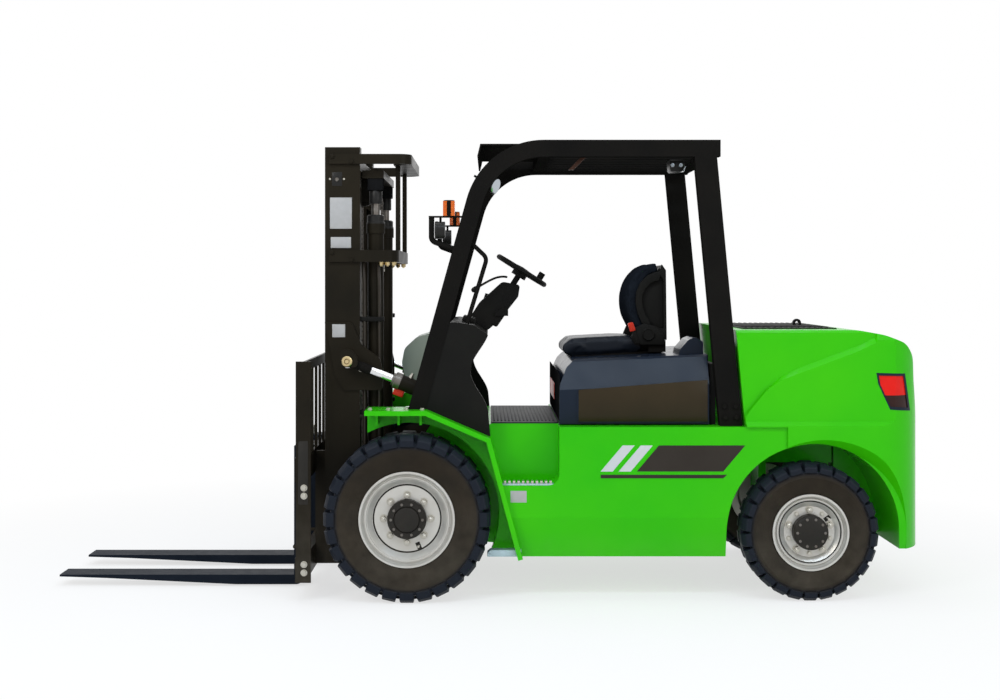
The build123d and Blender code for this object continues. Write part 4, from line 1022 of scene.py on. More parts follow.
@dataclass
class Wheel(Dressing):
    """Lugged tyre, nuts, hub cap, lock ring, painted shadow ring and valve of one wheel."""

    name: str
    side: float
    centre: Point3
    disc: float
    hub: float
    hub_face: float
    nuts: int
    nut_ring: float
    shadow_ring: Point2
    lock_ring: Point2
    valve: Point2
    domed: bool
    tread: Tread

    @property
    def middle(self) -> Matrix:
        """Middle of the wheel, facing out."""
        u, y, z = self.centre
        return facing(place(u, y * self.side, z), LEFT * self.side)

    def dress(self) -> None:
        """Adds the wheel's pieces."""
        on_disc = self.middle @ Matrix.Translation((0, 0, self.disc / MM)) @ Matrix.Rotation(math.pi / 2.0, 4, "Z")
        circle = {"Count": self.nuts, "Radius": self.nut_ring / MM}
        self.tools.ring.lay(f"{self.name}_nuts", stud_nut(32.0, 17.0), ZINC, self.name, set_at=on_disc, Turn=0.3,
                            **circle)
        if self.domed:
            between = on_disc @ Matrix.Rotation(math.pi / self.nuts, 4, "Z")
            self.tools.ring.lay(f"{self.name}_bolts", hex_bolt(20.0, 9.0, 26.0), ZINC, self.name, set_at=between,
                                Turn=0.1, **circle)
        self._hub()
        self._rings()
        self._valve()
        self._tyre()

    def _tyre(self) -> None:
        """Adds the tyre, with a pair of lugs straight below the axle."""
        down = self.middle.to_3x3().inverted() @ -UP
        at = self.middle @ Matrix.Rotation(math.atan2(down.y, down.x), 4, "Z")
        tread = self.tread
        body = piece(meshed(f"{self.name}_tyre", tread.carcass(), at), tread.finish, self.name, 30.0)
        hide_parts(self.name.replace("wheel", "tyre"))
        lugs = self.tools.ring.lay(f"{self.name}_lugs", tread.lug(), tread.finish, self.name, 20.0, set_at=at,
                                   Count=tread.lugs, Radius=tread.radius / MM, Turn=0.0)

    def _hub(self) -> None:
        """Adds the black hub cap and its ring of bolts."""
        r, face, disc = self.hub, self.hub_face, self.disc
        if self.domed:
            cap = [(0, disc), (r + 3, disc + 1), (r + 3, face - 21), (r - 2, face - 14), (r - 10, face - 10),
                   (0.74 * r, face - 7), (0.45 * r, face - 2), (0, face)]
        else:
            cap = [(0, disc), (r + 2, disc + 1), (r + 2, face - 18), (r - 6, face - 7), (0.70 * r, face - 7),
                   (0.66 * r, face - 11), (0.63 * r, face - 4), (0.50 * r, face), (0, face + 0.5)]
        piece(meshed(f"{self.name}_hub_cap", lathe(cap), self.middle), CAST_IRON, self.name)
        level = Matrix.Translation((0, 0, (face - (12 if self.domed else 7.5)) / MM))
        self.tools.ring.lay(f"{self.name}_hub_bolts", hex_bolt(15.0, 6.0), OILED_STEEL, self.name,
                            set_at=self.middle @ level, Count=10, Radius=0.82 * r / MM, Turn=0.0)

    def _rings(self) -> None:
        """Adds the lock ring of the rim and, inside it, a thin dark ring that paints the shadow in the gap between
        the rim's flange and its disc.
        """
        r, h = self.shadow_ring
        # Painted shadow: a dark ring where the gap between flange and disc lies in shade.
        shadow_ring = lathe([(r - 4, h - 2), (r - 4, h + 0.9), (r + 4, h + 0.9), (r + 4, h - 2)], 64)
        piece(meshed(f"{self.name}_rim_groove", shadow_ring, self.middle), CAST_IRON, self.name)
        r, h = self.lock_ring
        lock = lathe([(r - 6, h - 2), (r - 6, h + 3), (r - 3, h + 6), (r + 3, h + 6), (r + 6, h + 3),
                      (r + 6, h - 2)], 64)
        piece(meshed(f"{self.name}_lock_ring", lock, self.middle), RIM_PAINT, self.name)

    def _valve(self) -> None:
        """Adds the valve, on a dark plate that paints the shade of its slot."""
        radius, angle = self.valve
        spot = self.middle @ Matrix.Rotation(math.radians(angle), 4, "Z") @ Matrix.Translation(
            (radius / MM, 0, self.disc / MM))
        # Painted shade: a thin dark plate where the valve slot's opening lies in shadow.
        piece(meshed(f"{self.name}_valve_slot", slab((36.0, 22.0, 1.2), 0.5), spot), CAST_IRON, self.name)
        stem = lathe([(0, 0), (6, 0), (6, 12), (4, 14), (4, 26), (5.5, 27), (5.5, 34), (0, 35)], 12)
        piece(meshed(f"{self.name}_valve", stem, spot), ZINC, self.name)


@dataclass
class MastDressing(Dressing):
    """Chains, pipes, plates and fittings of the mast."""

    half: float = 425.0
    chain_y: float = 230.0
    sheave: Point2 = (252.0, 2030.0)
    chain_reach: float = 55.0
    chain_ends: Point2 = (650.0, 1752.0)
    pitch: float = 25.4
    barrel: Point2 = (185.0, 330.0)

    def dress(self) -> None:
        """Adds the mast's pieces."""
        self._chains()
        for name, side in SIDES.items():
            self._pipes(name, side)
            self._anchors(name, side)
            self._glands(name, side)
        self._plates()
        places = [(place(u, s * 441.0, z), LEFT * s) for s in SIDES.values()
                  for u, z in ((400.0, 2228.0), (300.0, 2202.0), (400.0, 1735.0), (300.0, 1698.0))]
        self.tools.bolts("mast_band_bolts", "outer_mast", places, 22.0, 8.0, MAST_PAINT_AND_REFLECTION, 30.0)
        self._windows()

    def _windows(self) -> None:
        """Adds a dark plate over each top roller, which paints the shade in the rail's window, with the roller's pin
        and bolts.
        """
        for name, side in SIDES.items():
            # Painted shade: a dark plate over the rail's window, where the roller lies in shadow.
            shade = prism(oblong((350.0, 2077.0), (402.0, 2147.0)), side * (self.half - 0.5),
                          side * (self.half + 1.6), 0.7)
            piece(meshed(f"roller_window_{name}", shade), LAMP_BODY, "outer_mast")
            pin = lathe([(0, 0), (11, 0), (11, 5), (8, 8), (0, 8)], 16)
            at = facing(place(376.0, side * (self.half + 1.0), 2110.0), LEFT * side)
            piece(meshed(f"roller_pin_{name}", pin, at), OILED_STEEL, "outer_mast")
        bolts = [(place(u, s * self.half, 2112.0), LEFT * s) for s in SIDES.values() for u in (340.0, 412.0)]
        self.tools.bolts("roller_bolts", "outer_mast", bolts, 12.0, 5.0, ZINC)
        studs = [(place(u, s * y, 1687.0), -UP) for s in SIDES.values()
                 for u, y in ((150.0, 408.0), (118.0, 404.0), (86.0, 396.0))]
        self.tools.dots("band_studs", "outer_mast", studs, stud_nut(26.0, 15.0), BRASS, 5, 25.0)

    def _link(self, plates: Sequence[float]) -> Shape:
        """One link of leaf chain along X.

        Args:
            plates: Offsets of its plates across, in millimetres.

        Returns:
            The link's shape.
        """
        half, waist, tall = 0.74 * self.pitch, 4.5, 7.0
        shape = bmesh.new()
        for y in plates:
            ring = [(-half, 0), (-0.75 * half, tall), (-0.35 * half, tall), (0, waist), (0.35 * half, tall),
                    (0.75 * half, tall), (half, 0)]
            ring += [(x, -z) for x, z in reversed(ring[1:-1])]
            ends = [[shape.verts.new((x / MM, (y + w) / MM, z / MM)) for x, z in ring] for w in (-1.8, 1.8)]
            for end in ends:
                shape.faces.new(end)
            walled(shape, *ends)
        return shape

    def _chains(self) -> None:
        """Hangs link chains over the sheaves instead of the plain strands."""
        u, z = self.sheave
        r, (front_end, rear_end) = self.chain_reach, self.chain_ends
        turn = [(u + r * math.cos(a), z + r * math.sin(a)) for a in (math.pi * i / 16 for i in range(17))]
        route = [(u + r, front_end), *turn, (u - r, rear_end)]
        count = int(((z - front_end) + math.pi * r + (z - rear_end)) / self.pitch)
        links = {"outer": (count, (-14.0, -5.0, 5.0, 14.0)), "inner": (count - 1, (-9.5, 0.0, 9.5))}
        for name, side in SIDES.items():
            for kind, (copies, plates) in links.items():
                curve = bpy.data.curves.new("chain_route", "CURVE")
                curve.dimensions = "3D"
                spline = curve.splines.new("POLY")
                spline.points.add(len(route) - 1)
                for knot, (pu, pz) in zip(spline.points, route):
                    knot.co = (*place(pu, side * self.chain_y, pz), 1.0)
                self.tools.path.lay(f"lift_chain_{kind}_{name[0]}", self._link(plates), OILED_STEEL,
                                                "inner_mast", 30.0, base=curve, Count=copies)
        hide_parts("lift_chains")

    def _pipes(self, name: str, side: float) -> None:
        """Runs two steel oil pipes up behind a rail.

        Args:
            name: Side's name.
            side: 1 on the left, -1 on the right.
        """
        for i, (u, y) in enumerate(((160.0, 392.0), (236.0, 404.0))):
            route = [place(u, side * y, 330.0), place(u, side * y, 700.0), place(u, side * y, 1560.0),
                     place(u + 6, side * (y - 8), 1640.0), place(u + 10, side * (y - 20), 1690.0)]
            piece(pipe(f"mast_pipe_{name}_{i}", route, 9.0), HOSE_RUBBER_AND_HIGHLIGHT, "outer_mast")
        clips = [prism(oblong((136.0, z), (262.0, z + 24.0)), side * 384.0, side * 414.0, 4.0)
                 for z in (900.0, 1380.0)]
        piece(meshed(f"pipe_clips_{name}", merged(*clips)), BLACK_PLASTIC, "outer_mast")

    def _anchors(self, name: str, side: float) -> None:
        """Sets the chain's anchor rod under the middle band.

        Args:
            name: Side's name.
            side: 1 on the left, -1 on the right.
        """
        rod = lathe([(0, -95), (9, -95), (9, -60), (16, -60), (16, -44), (9, -44), (9, -38), (16, -38), (16, -22),
                     (9, -22), (9, 0), (0, 0)], 12)
        spot = Matrix.Translation(place(self.sheave[0] - self.chain_reach, side * self.chain_y, 1702.0))
        piece(meshed(f"chain_anchor_{name}", rod, spot), ZINC, "outer_mast")

    def _glands(self, name: str, side: float) -> None:
        """Adds the gland nut and the oil union of a lift cylinder.

        Args:
            name: Side's name.
            side: 1 on the left, -1 on the right.
        """
        u, y = self.barrel
        gland = lathe([(24, 1884), (47, 1884), (47, 1893), (44, 1897), (44, 1926), (38, 1932), (24, 1932)], 30)
        spot = Matrix.Translation(place(u, side * y, 0))
        piece(meshed(f"lift_gland_{name}", gland, spot), LAMP_BODY, "outer_mast")
        sleeve = lathe([(21.5, 1990), (32, 1990), (34, 1996), (34, 2056), (30, 2062), (21.5, 2062)], 30)
        piece(meshed(f"lift_sleeve_{name}", sleeve, spot), LAMP_BODY, "inner_mast")
        hood = prism(oblong((u - 40, 2058.0), (u + 40, 2121.0)), side * (y - 40), side * (y + 40), 4.0)
        piece(meshed(f"lift_rod_hood_{name}", hood), MATT_BLACK, "inner_mast")
        union = merged(hex_bolt(36.0, 22.0), lathe([(0, 20), (11, 20), (11, 44), (0, 44)], 14))
        piece(meshed(f"lift_union_{name}", union, facing(place(u, side * (y + 40), 330.0), LEFT * side)), ZINC,
              "outer_mast")

    def _plates(self) -> None:
        """Rivets blank plates to the left rail."""
        places = []
        for i, (u, z, wide, tall) in enumerate(((356.0, 1937.0, 112.0, 160.0), (356.0, 1786.0, 104.0, 56.0),
                                                (366.0, 1333.0, 66.0, 66.0))):
            inside = self.half + (12.0 if i == 2 else 0.0)
            corners = oblong((u - wide / 2, z - tall / 2), (u + wide / 2, z + tall / 2))
            plate = prism(corners, inside - 0.5, inside + 1.6, 0.6)
            piece(meshed(f"mast_plate_{i}", plate), WHITE_PLATE, "outer_mast")
            places += [(place(pu + math.copysign(8, u - pu), inside + 1.4, pz + math.copysign(8, z - pz)), LEFT)
                       for pu, pz in corners]
        self.tools.dots("mast_plate_rivets", "outer_mast", places, rivet(3.2), ZINC, 3)


@dataclass
class CarriageDressing(Dressing):
    """Bolts, roller pads, notches, welds and fork pins of the carriage."""

    upright_y: float = 706.0
    fork_y: float = 258.0

    def dress(self) -> None:
        """Adds the carriage's pieces."""
        places = [(place(508.0, s * self.upright_y, z), LEFT * s) for s in SIDES.values()
                  for z in (567.0, 527.0, 189.0, 148.0)]
        self.tools.bolts("carriage_bolts", "carriage", places, 26.0, 11.0, ZINC, 34.0)
        for name, side in SIDES.items():
            pad = prism([(492.0, 484.0), (532.0, 484.0), (537.0, 490.0), (537.0, 790.0), (529.0, 798.0),
                         (488.0, 798.0), (488.0, 490.0)], side * (self.upright_y - 1.0),
                        side * (self.upright_y + 1.6), 0.6)
            piece(meshed(f"roller_pad_{name}", pad), CAST_IRON, "carriage")
            pin = lathe([(0, -14), (13, -14), (13, 8), (9, 12), (9, 30), (15, 34), (15, 48), (10, 53), (0, 53)], 20)
            piece(meshed(f"fork_pin_{name}", pin, Matrix.Translation(place(582.0, side * self.fork_y, 730.0))), ZINC,
                  "carriage")
            heel = prism(oblong((556.0, 196.0), (616.0, 214.0)), side * 178.0, side * 338.0, 5.0)
            piece(meshed(f"fork_weld_{name}", heel), MAST_PAINT_AND_REFLECTION, "carriage")
        self.tools.row.lay("fork_notches", slab((9.0, 26.0, 7.0), 2.0), OILED_STEEL, "carriage", Count=13,
                           Start=place(546.0, -576.0, 711.0), Step=Vector((0, 0.096, 0)))


@dataclass
class TiltDressing:
    """Glands, unions, clevis sleeves, valves and pin heads of the tilt cylinders."""

    anchor: Point2 = (-300.0, 935.0)
    pin: Point2 = (315.0, 1180.0)
    side_y: float = 482.0
    barrel_end: float = 406.0

    def dress(self) -> None:
        """Adds the pieces of both cylinders."""
        run = Vector((self.pin[0] - self.anchor[0], 0.0, self.pin[1] - self.anchor[1])).normalized()
        for name, side in SIDES.items():
            foot = place(self.anchor[0], side * self.side_y, self.anchor[1])
            gland = lathe([(21, -34), (43, -34), (43, -4), (40, 0), (33, 0), (33, 9), (29, 12), (21, 12)], 30)
            at = facing(foot + run * (self.barrel_end / MM), run)
            piece(meshed(f"tilt_gland_{name}", gland, at), OILED_STEEL, f"tilt_barrel_{name}")
            across = run.cross(LEFT).normalized()
            above = across if across.z > 0 else -across
            for i, reach in enumerate((110.0, 330.0)):
                union = merged(hex_bolt(26.0, 14.0), lathe([(0, 12), (8, 12), (8, 26), (0, 26)], 12))
                at = facing(foot + run * (reach / MM) + above * 0.038, above)
                piece(meshed(f"tilt_union_{name}_{i}", union, at), ZINC, f"tilt_barrel_{name}")
            self._pin_head(name, side)
            tip = place(self.pin[0], side * self.side_y, self.pin[1])
            clevis = lathe([(19.5, 36), (22, 36), (22, 70), (25, 74), (25, 124), (22, 130), (19.5, 130)], 28)
            piece(meshed(f"tilt_clevis_{name}", clevis, facing(tip, -run)), BLACK_PAINT, f"tilt_rod_{name}")
            valve = slab((30.0, 54.0, 34.0), 4.0)
            at = facing(foot + run * 0.362 - above * 0.036, -above)
            piece(meshed(f"tilt_valve_{name}", valve, at), RED_PLASTIC, f"tilt_barrel_{name}")

    def _pin_head(self, name: str, side: float) -> None:
        """Adds the large head of the upper pin and the bolt of its keeper.

        Args:
            name: Side's name.
            side: 1 on the left, -1 on the right.
        """
        head = lathe([(0, 0), (27, 0), (27, 6), (23, 9), (15, 9), (14, 4), (10, 4), (9, 13), (0, 13)], 28)
        at = facing(place(self.pin[0], side * (self.side_y + 39.0), self.pin[1]), LEFT * side)
        piece(meshed(f"tilt_pin_head_{name}", head, at), BRASS, "outer_mast")
        at = facing(place(252.0, side * (self.side_y - 45.0), 1134.0), LEFT * side)
        piece(meshed(f"tilt_keeper_bolt_{name}", hex_bolt(18.0, 8.0, 24.0), at), ZINC, "outer_mast", 25.0)


@dataclass
class GuardDressing(Dressing):
    """Mirror, strap, work lamp and foot bolts of the overhead guard."""

    outer_y: float = 600.0

    def dress(self) -> None:
        """Adds the guard's pieces."""
        stem = [place(-330.0, 570.0, 2118.0), place(-372.0, 570.0, 2096.0), place(-420.0, 566.0, 2074.0)]
        piece(pipe("mirror_stem", stem, 6.0), BLACK_PLASTIC, "chassis")
        back = lathe([(0, -10), (26, -8), (40, -2), (44, 5), (42, 8), (0, 8)], 32)
        look = Vector((-0.8, 0.45, -0.35)).normalized()
        at = facing(place(-432.0, 562.0, 2066.0), look)
        piece(meshed("mirror_back", back, at), BLACK_PLASTIC, "chassis")
        glass = lathe([(0, 7), (40, 7), (40, 9), (0, 11)], 32)
        piece(meshed("mirror_glass", glass, at), MIRROR_GLASS, "chassis")
        strap = prism([(-872.0, 2217.0), (-900.0, 2217.0), (-832.0, 2150.0), (-806.0, 2150.0)], 518.0, 541.0, 2.0)
        piece(meshed("guard_strap", strap), BROWN_PAINT, "chassis")
        shade = prism([(-1330.0, 2212.0), (-1404.0, 2212.0), (-1414.0, 2176.0), (-1400.0, 2150.0),
                       (-1338.0, 2150.0)], 300.0, 420.0, 8.0)
        piece(meshed("work_lamp_shade", shade), LAMP_BODY, "chassis")
        lens = prism([(-1416.0, 2180.0), (-1404.0, 2156.0), (-1410.0, 2152.0), (-1420.0, 2178.0)], 312.0, 408.0,
                     2.0)
        piece(meshed("work_lamp_lens", lens), LAMP_GLASS, "chassis")
        # Painted glint: the two screws take the pale lamp glass finish so that they show bright blue-white.
        screws = [(place(u, 419.0, 2184.0), LEFT) for u in (-1350.0, -1392.0)]
        self.tools.dots("work_lamp_screws", "chassis", screws, rivet(11.0), LAMP_GLASS, 2)
        feet = [(place(u, s * self.outer_y, z), LEFT * s) for s in SIDES.values()
                for u, z in ((-1588.0, 905.0), (-1644.0, 905.0), (-1584.0, 960.0), (-1640.0, 960.0))]
        self.tools.bolts("guard_foot_bolts", "chassis", feet, 26.0, 9.0, BLACK_PAINT, 36.0)


@dataclass
class BodyDressing(Dressing):
    """Stripes, plate, mat ribs, step strips, sill bars and bolts of the body."""

    panel_y: float = 650.0
    stripe_lean: float = 110.0

    def dress(self) -> None:
        """Adds the body's pieces."""
        for name, side in SIDES.items():
            self._stripes(name, side)
        plate = prism(oblong((-512.0, 486.0), (-592.0, 544.0)), self.panel_y - 0.4, self.panel_y + 1.4, 0.5)
        piece(meshed("body_plate", plate), WHITE_PLATE, "chassis")
        self.tools.row.lay("mat_ribs", slab((9.0, 830.0, 5.0), 2.0), MAT_RUBBER, "chassis", Count=17,
                           Start=place(-432.0, 0.0, 867.0), Step=Vector((-0.0190, 0, 0)))
        for name, side in SIDES.items():
            strip = prism([(-472.0, 569.0), (-724.0, 569.0), (-728.0, 573.0), (-728.0, 579.0), (-472.0, 579.0)],
                          side * 604.0, side * 648.0, 2.0)
            piece(meshed(f"step_strip_{name}", strip), TREAD_STEEL, "chassis")
            self.tools.row.lay(f"step_teeth_{name}", slab((13.0, 36.0, 16.0), 3.0), ZINC, "chassis", Count=11,
                               Start=place(-484.0, side * 626.0, 577.0), Step=Vector((-0.0228, 0, 0)))
            sill = prism([(-396.0, 217.0), (-566.0, 217.0), (-566.0, 250.0), (-412.0, 250.0), (-396.0, 236.0)],
                         side * 596.0, side * (self.panel_y + 5.0), 3.0)
            piece(meshed(f"sill_bar_{name}", sill), TREAD_STEEL, "chassis")
        places = [(place(u, s * 600.0, 944.0), UP) for s in SIDES.values() for u in (190.0, 100.0, 10.0, -70.0)]
        self.tools.bolts("fender_bolts", "chassis", places, 20.0, 7.0, ZINC, 28.0)

    def _stripes(self, name: str, side: float) -> None:
        """Lays a plain two-tone stripe of slanted bars along a side panel.

        Args:
            name: Side's name.
            side: 1 on the left, -1 on the right.
        """
        near, far = side * (self.panel_y - 0.3), side * (self.panel_y + 0.8)
        bars = ((-960.0, 60.0, PALE_FILM), (-1050.0, 60.0, PALE_FILM), (-1140.0, 430.0, DARK_FILM))
        for i, (front, width, finish) in enumerate(bars):
            back, top = front - width, front - self.stripe_lean
            outline = [(front, 640.0), (back, 640.0), (back - self.stripe_lean, 770.0), (top, 770.0)]
            piece(meshed(f"stripe_{name}_{i}", prism(outline, near, far)), finish, "chassis")
        line = [(-960.0, 606.0), (-1570.0, 606.0), (-1590.0, 624.0), (-960.0, 624.0)]
        piece(meshed(f"stripe_{name}_line", prism(line, near, far)), DARK_FILM, "chassis")


@dataclass
class CabDressing(Dressing):
    """Small controls of the driver's place."""

    steer: Point2 = (-582.0, 1645.0)
    steer_tilt: float = 32.0
    dash_z: float = 1380.0

    def dress(self) -> None:
        """Adds the cab's pieces."""
        tilt = math.radians(self.steer_tilt)
        axis = Vector((-math.sin(tilt), 0.0, math.cos(tilt)))
        centre = place(self.steer[0], 0.0, self.steer[1])
        cap = lathe([(0, 2), (44, 2), (44, 10), (36, 17), (0, 20)], 32)
        piece(meshed("steering_cap", cap, facing(centre, axis)), BLACK_PLASTIC, "steering_wheel")
        rings = [(r - 3 * k, h + 7 * k) for k in range(5) for r, h in ((24, 4), (20, 8))]
        lean = Vector((-50.0, 0.0, 155.0)).normalized()
        boots = []
        for i in range(4):
            boots.append(lathe([(0, 0), *rings, (0, 40)], 16))
            spot = facing(place(-352.0, -150.0 - 70.0 * i, self.dash_z - 16.0), lean)
            bmesh.ops.transform(boots[-1], matrix=spot, verts=boots[-1].verts)
        piece(meshed("lever_boots", merged(*boots)), MAT_RUBBER, "chassis")
        stalk = [place(-500.0, 50.0, 1610.0), place(-470.0, 96.0, 1616.0), place(-400.0, 128.0, 1590.0),
                 place(-330.0, 140.0, 1545.0)]
        piece(pipe("direction_stalk", stalk, 6.0), BLACK_PLASTIC, "chassis")
        knob = lathe([(0, -22), (10, -20), (14, -8), (14, 10), (9, 20), (0, 22)], 18)
        piece(meshed("direction_knob", knob, facing(stalk[-1], stalk[-1] - stalk[-2])), BLACK_PLASTIC, "chassis")
        lever = prism([(-478.0, 1452.0), (-508.0, 1428.0), (-446.0, 1338.0), (-412.0, 1356.0)], 20.0, 64.0, 9.0, 3)
        piece(meshed("column_lever", lever), BLACK_PLASTIC, "chassis")
        gauge = prism([(-262.0, 1381.0), (-330.0, 1366.0), (-336.0, 1392.0), (-272.0, 1410.0)], 120.0, 330.0, 6.0)
        piece(meshed("gauge_hood", gauge), BLACK_PLASTIC, "chassis")
        self.tools.row.lay("pedal_ribs", slab((5.0, 110.0, 5.0), 1.5), MAT_RUBBER, "chassis", Count=6,
                           Start=place(-331.0, 0.0, 936.0), Step=Vector((0, 0, 0.0122)))


@dataclass
class RearDressing(Dressing):
    """Ribs on the counterweight's cover."""

    cover: Point2 = (-1740.0, -2160.0)
    ribs: int = 15

    def dress(self) -> None:
        """Adds the row of ribs."""
        first, last = self.cover
        step = (last - first) / (self.ribs - 1) / MM
        self.tools.row.lay("cover_ribs", slab((13.0, 700.0, 7.0), 2.5), BLACK_PLASTIC, "chassis", Count=self.ribs,
                           Start=place(first, 0.0, 1345.0), Step=Vector((step, 0, 0)))


@dataclass
class LampDressing:
    """Glass and rims of the head lamps."""

    lamp_y: float = 570.0

    def dress(self) -> None:
        """Adds a glass and a rim to each head lamp."""
        low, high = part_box("head_lamps")
        for name, side in SIDES.items():
            middle = Vector((high.x, side * self.lamp_y / MM, (low.z + high.z) / 2.0))
            rim = lathe([(34, -10), (45, -10), (45, 2), (41, 5), (34, 2)], 32)
            piece(meshed(f"head_lamp_rim_{name}", rim, facing(middle, AHEAD)), LAMP_BODY, "chassis")
            glass = lathe([(0, -4), (36, -4), (36, 0), (28, 4), (14, 6), (0, 7)], 32)
            piece(meshed(f"head_lamp_glass_{name}", glass, facing(middle, AHEAD)), LAMP_GLASS, "chassis")


PAD_STEPS = 20  # frames that the cloth swells for
PAD_PRESSURE = 4.0


def stuffed(name: str, shape: bpy.types.Mesh, cap: float, voxel: float = 6.0) -> bpy.types.Mesh:
    """Swells a sewn form with cloth under pressure.

    Args:
        name: Name of the mesh.
        shape: Closed form, a little smaller than the pad; it is used up.
        cap: Furthest that a point may move, in millimetres.
        voxel: Cell of the remeshed form.

    Returns:
        The swollen mesh.
    """
    host = bpy.data.objects.new(name, shape)
    cells = host.modifiers.new("cells", "REMESH")
    cells.mode = "VOXEL"
    cells.voxel_size = voxel / MM
    even = baked(name, host)
    start = [v.co.copy() for v in even.vertices]
    pad = bpy.data.objects.new(name, even)
    bpy.context.scene.collection.objects.link(pad)
    cloth = pad.modifiers.new("cloth", "CLOTH")
    cloth.settings.use_pressure = True
    cloth.settings.uniform_pressure_force = PAD_PRESSURE
    cloth.settings.effector_weights.gravity = 0.0
    cloth.point_cache.frame_start, cloth.point_cache.frame_end = 1, PAD_STEPS
    for step in range(1, PAD_STEPS + 1):
        bpy.context.scene.frame_set(step)
    graph = bpy.context.evaluated_depsgraph_get()
    moved = [v.co.copy() for v in pad.evaluated_get(graph).data.vertices]
    bpy.data.objects.remove(pad)
    bpy.context.scene.frame_set(1)
    for vertex, was, now in zip(even.vertices, start, moved):
        shift = now - was
        far = shift.length
        vertex.co = was + shift * (min(far, cap / MM) / far if far > 1e-9 else 0.0)
    soft = bpy.data.objects.new(name, even)
    calm = soft.modifiers.new("calm", "SMOOTH")
    calm.iterations = 4
    fine = soft.modifiers.new("fine", "SUBSURF")
    fine.levels = fine.render_levels = 1
    return baked(name, soft)


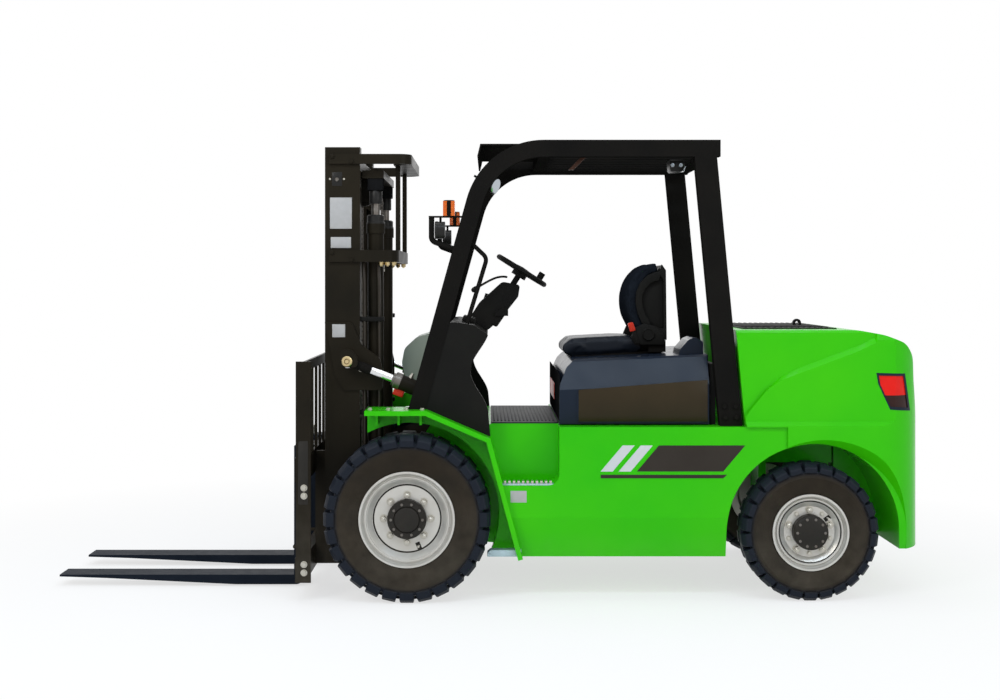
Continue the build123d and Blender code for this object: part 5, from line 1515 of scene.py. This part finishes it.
@dataclass
class DriverSeat:
    """Stuffed cushion and backrest, moulded shell, hinge brackets, buckle and the skins of the hood."""

    front: float = -774.0
    hood_z: float = 1215.0
    half: float = 235.0

    def dress(self) -> None:
        """Builds the seat on the hood."""
        f, z, half = self.front, self.hood_z, self.half
        low, high = z - 31.0, z - 12.0
        cushion = [(f - 34, low + 16), (f - 8, low + 32), (f - 10, low + 64), (f - 36, low + 80),
                   (f - 70, low + 84), (f - 300, high + 77), (f - 404, high + 76), (f - 440, high + 40),
                   (f - 452, high + 20)]
        form = meshed("cushion_form", prism(cushion, 9 - half, half - 9, 14.0, 3))
        made = piece(stuffed("seat_cushion_pad", form, 18.0), VINYL, "hood", 180.0)
        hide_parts("seat_cushion")
        self._backrest()
        self._shell()
        self._bracket()
        self._hood_panels()

    def _hood_panels(self) -> None:
        """Skins the hood's front and sides, with a red reflector on the front; the side skins are brown as a painted
        reflection.
        """
        f = self.front
        front = prism(oblong((f + 12, 878.0), (f + 15.5, 1120.0)), -536.0, 536.0, 1.5)
        piece(meshed("hood_front_skin", front), MATT_BLACK, "hood")
        strip = prism(oblong((f + 14, 948.0), (f + 18, 1036.0)), -420.0, 60.0, 1.5)
        piece(meshed("hood_reflector", strip), RED_PLASTIC, "hood")
        for name, side in SIDES.items():
            outline = [(-856.0, 880.0), (-1506.0, 880.0), (-1506.0, 1090.0), (-856.0, 1040.0)]
            skin = prism(outline, side * 565.0, side * 568.6, 1.5)
            piece(meshed(f"hood_side_skin_{name}", skin), BROWN_REFLECTION_PANEL, "hood")

    def _arc(self) -> list[Point2]:
        """Returns the backrest's front edge in side view, from its foot to its head."""
        f, z = self.front, self.hood_z
        return [(f - 436, z + 92), (f - 406, z + 130), (f - 378, z + 190), (f - 365, z + 262), (f - 372, z + 330),
                (f - 402, z + 392), (f - 452, z + 440), (f - 500, z + 460), (f - 528, z + 462)]

    def _inner(self, depth: float) -> list[Point2]:
        """Backrest's edge moved back by so many millimetres.

        Args:
            depth: How far behind the front edge.

        Returns:
            The (station, height) points.
        """
        middle = (self.front - 545.0, self.hood_z + 262.0)
        moved = []
        for u, z in self._arc():
            way = Vector((middle[0] - u, middle[1] - z))
            shift = way.normalized() * min(depth, 0.8 * way.length)
            moved.append((u + shift.x, z + shift.y))
        return moved

    def _backrest(self) -> None:
        """Builds the curved backrest pad."""
        outline = [*self._arc(), *reversed(self._inner(46.0))]
        form = meshed("backrest_form", prism(outline, 14 - self.half, self.half - 14, 9.0, 3))
        made = piece(stuffed("seat_backrest_pad", form, 14.0), MATT_VINYL, "hood", 180.0)
        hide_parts("seat_backrest")

    def _shell(self) -> None:
        """Builds the moulded shell behind the pad, with a pocket in each side."""
        f, z, half = self.front, self.hood_z, self.half
        back = [(f - 544, z + 462), (f - 566, z + 430), (f - 570, z + 62), (f - 500, z + 62), (f - 470, z + 80)]
        core = [*self._inner(40.0), *back]
        shell = prism(core, 34 - half, half - 34, 10.0)
        inner = [(u + 0.30 * (f - 520 - u), pz + 0.30 * (z + 265 - pz)) for u, pz in core]
        rims = [self._rim(core, inner, side * (half - 40), side * (half - 8)) for side in SIDES.values()]
        made = piece(meshed("seat_shell", merged(shell, *rims)), BLACK_PLASTIC, "hood")
        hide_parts("seat_back_shell")

    def _rim(self, outer: Sequence[Point2], inner: Sequence[Point2], near: float, far: float) -> Shape:
        """Rim between two outlines.

        Args:
            outer: Outer corners.
            inner: Inner corners, as many.
            near: First offset across.
            far: Other offset.

        Returns:
            The rim's shape.
        """
        shape = bmesh.new()
        rings = [[shape.verts.new(place(u, y, z)) for u, z in ring]
                 for ring, y in ((outer, near), (outer, far), (inner, far), (inner, near))]
        for low, high in zip(rings, rings[1:] + rings[:1]):
            walled(shape, low, high)
        bmesh.ops.recalc_face_normals(shape, faces=shape.faces)
        bmesh.ops.bevel(shape, geom=shape.edges[:], offset=0.003, segments=2, profile=0.5, affect="EDGES")
        return shape

    def _bracket(self) -> None:
        """Adds the recliner brackets and the belt's red buckle on its stalk."""
        f, z, half = self.front, self.hood_z, self.half
        for name, side in SIDES.items():
            outline = [(f - 398, z + 36), (f - 380, z + 76), (f - 402, z + 128), (f - 448, z + 150),
                       (f - 520, z + 132), (f - 552, z + 92), (f - 556, z + 36)]
            plate = prism(outline, side * (half - 14), side * (half + 10), 7.0)
            piece(meshed(f"seat_hinge_{name}", plate), BLACK_PLASTIC, "hood")
            knob = lathe([(0, 0), (34, 0), (34, 8), (28, 14), (24, 11), (0, 11)], 28)
            at = facing(place(f - 470, side * (half + 9), z + 92), LEFT * side)
            piece(meshed(f"seat_hinge_cap_{name}", knob, at), BLACK_PLASTIC, "hood")
        stalk = prism([(f - 404, z + 44), (f - 424, z + 46), (f - 398, z + 118), (f - 378, z + 112)], half + 10,
                      half + 16, 2.0)
        piece(meshed("belt_stalk", stalk), BLACK_PLASTIC, "hood")
        buckle = prism([(f - 374, z + 104), (f - 404, z + 114), (f - 388, z + 158), (f - 360, z + 150)], half + 3,
                       half + 23, 5.0)
        piece(meshed("belt_buckle", buckle), RED_PLASTIC, "hood")


def main() -> None:
    """Builds the studio and the truck's sub-assemblies in order."""
    logging.basicConfig(level=logging.INFO, format="%(name)s: %(message)s")
    Studio().build()
    PaintShop().dress()
    tools = Toolbox()
    for name, side in SIDES.items():
        Wheel(tools, f"front_wheel_{name}", side, centre=(0.0, 592.5, 413.0), disc=92.5, hub=95.0, hub_face=146.0,
              nuts=8, nut_ring=117.0, shadow_ring=(167.0, 92.5), lock_ring=(206.0, 115.5), valve=(146.0, -67.0),
              domed=False, tread=Tread(413.0, 147.5, 237.3, 28, FRONT_RUBBER)).dress()
        Wheel(tools, f"rear_wheel_{name}", side, centre=(-2000.0, 595.0, 341.0), disc=45.0, hub=84.0, hub_face=107.0,
              nuts=5, nut_ring=108.0, shadow_ring=(154.0, 63.0), lock_ring=(162.0, 63.0), valve=(112.0, 36.0),
              domed=True, tread=Tread(341.0, 95.0, 190.3, 26, REAR_RUBBER)).dress()
    for part in (MastDressing(tools), CarriageDressing(tools), TiltDressing(), GuardDressing(tools),
                 BodyDressing(tools), CabDressing(tools), RearDressing(tools), LampDressing(), DriverSeat()):
        part.dress()


if __name__ == "__main__":
    main()
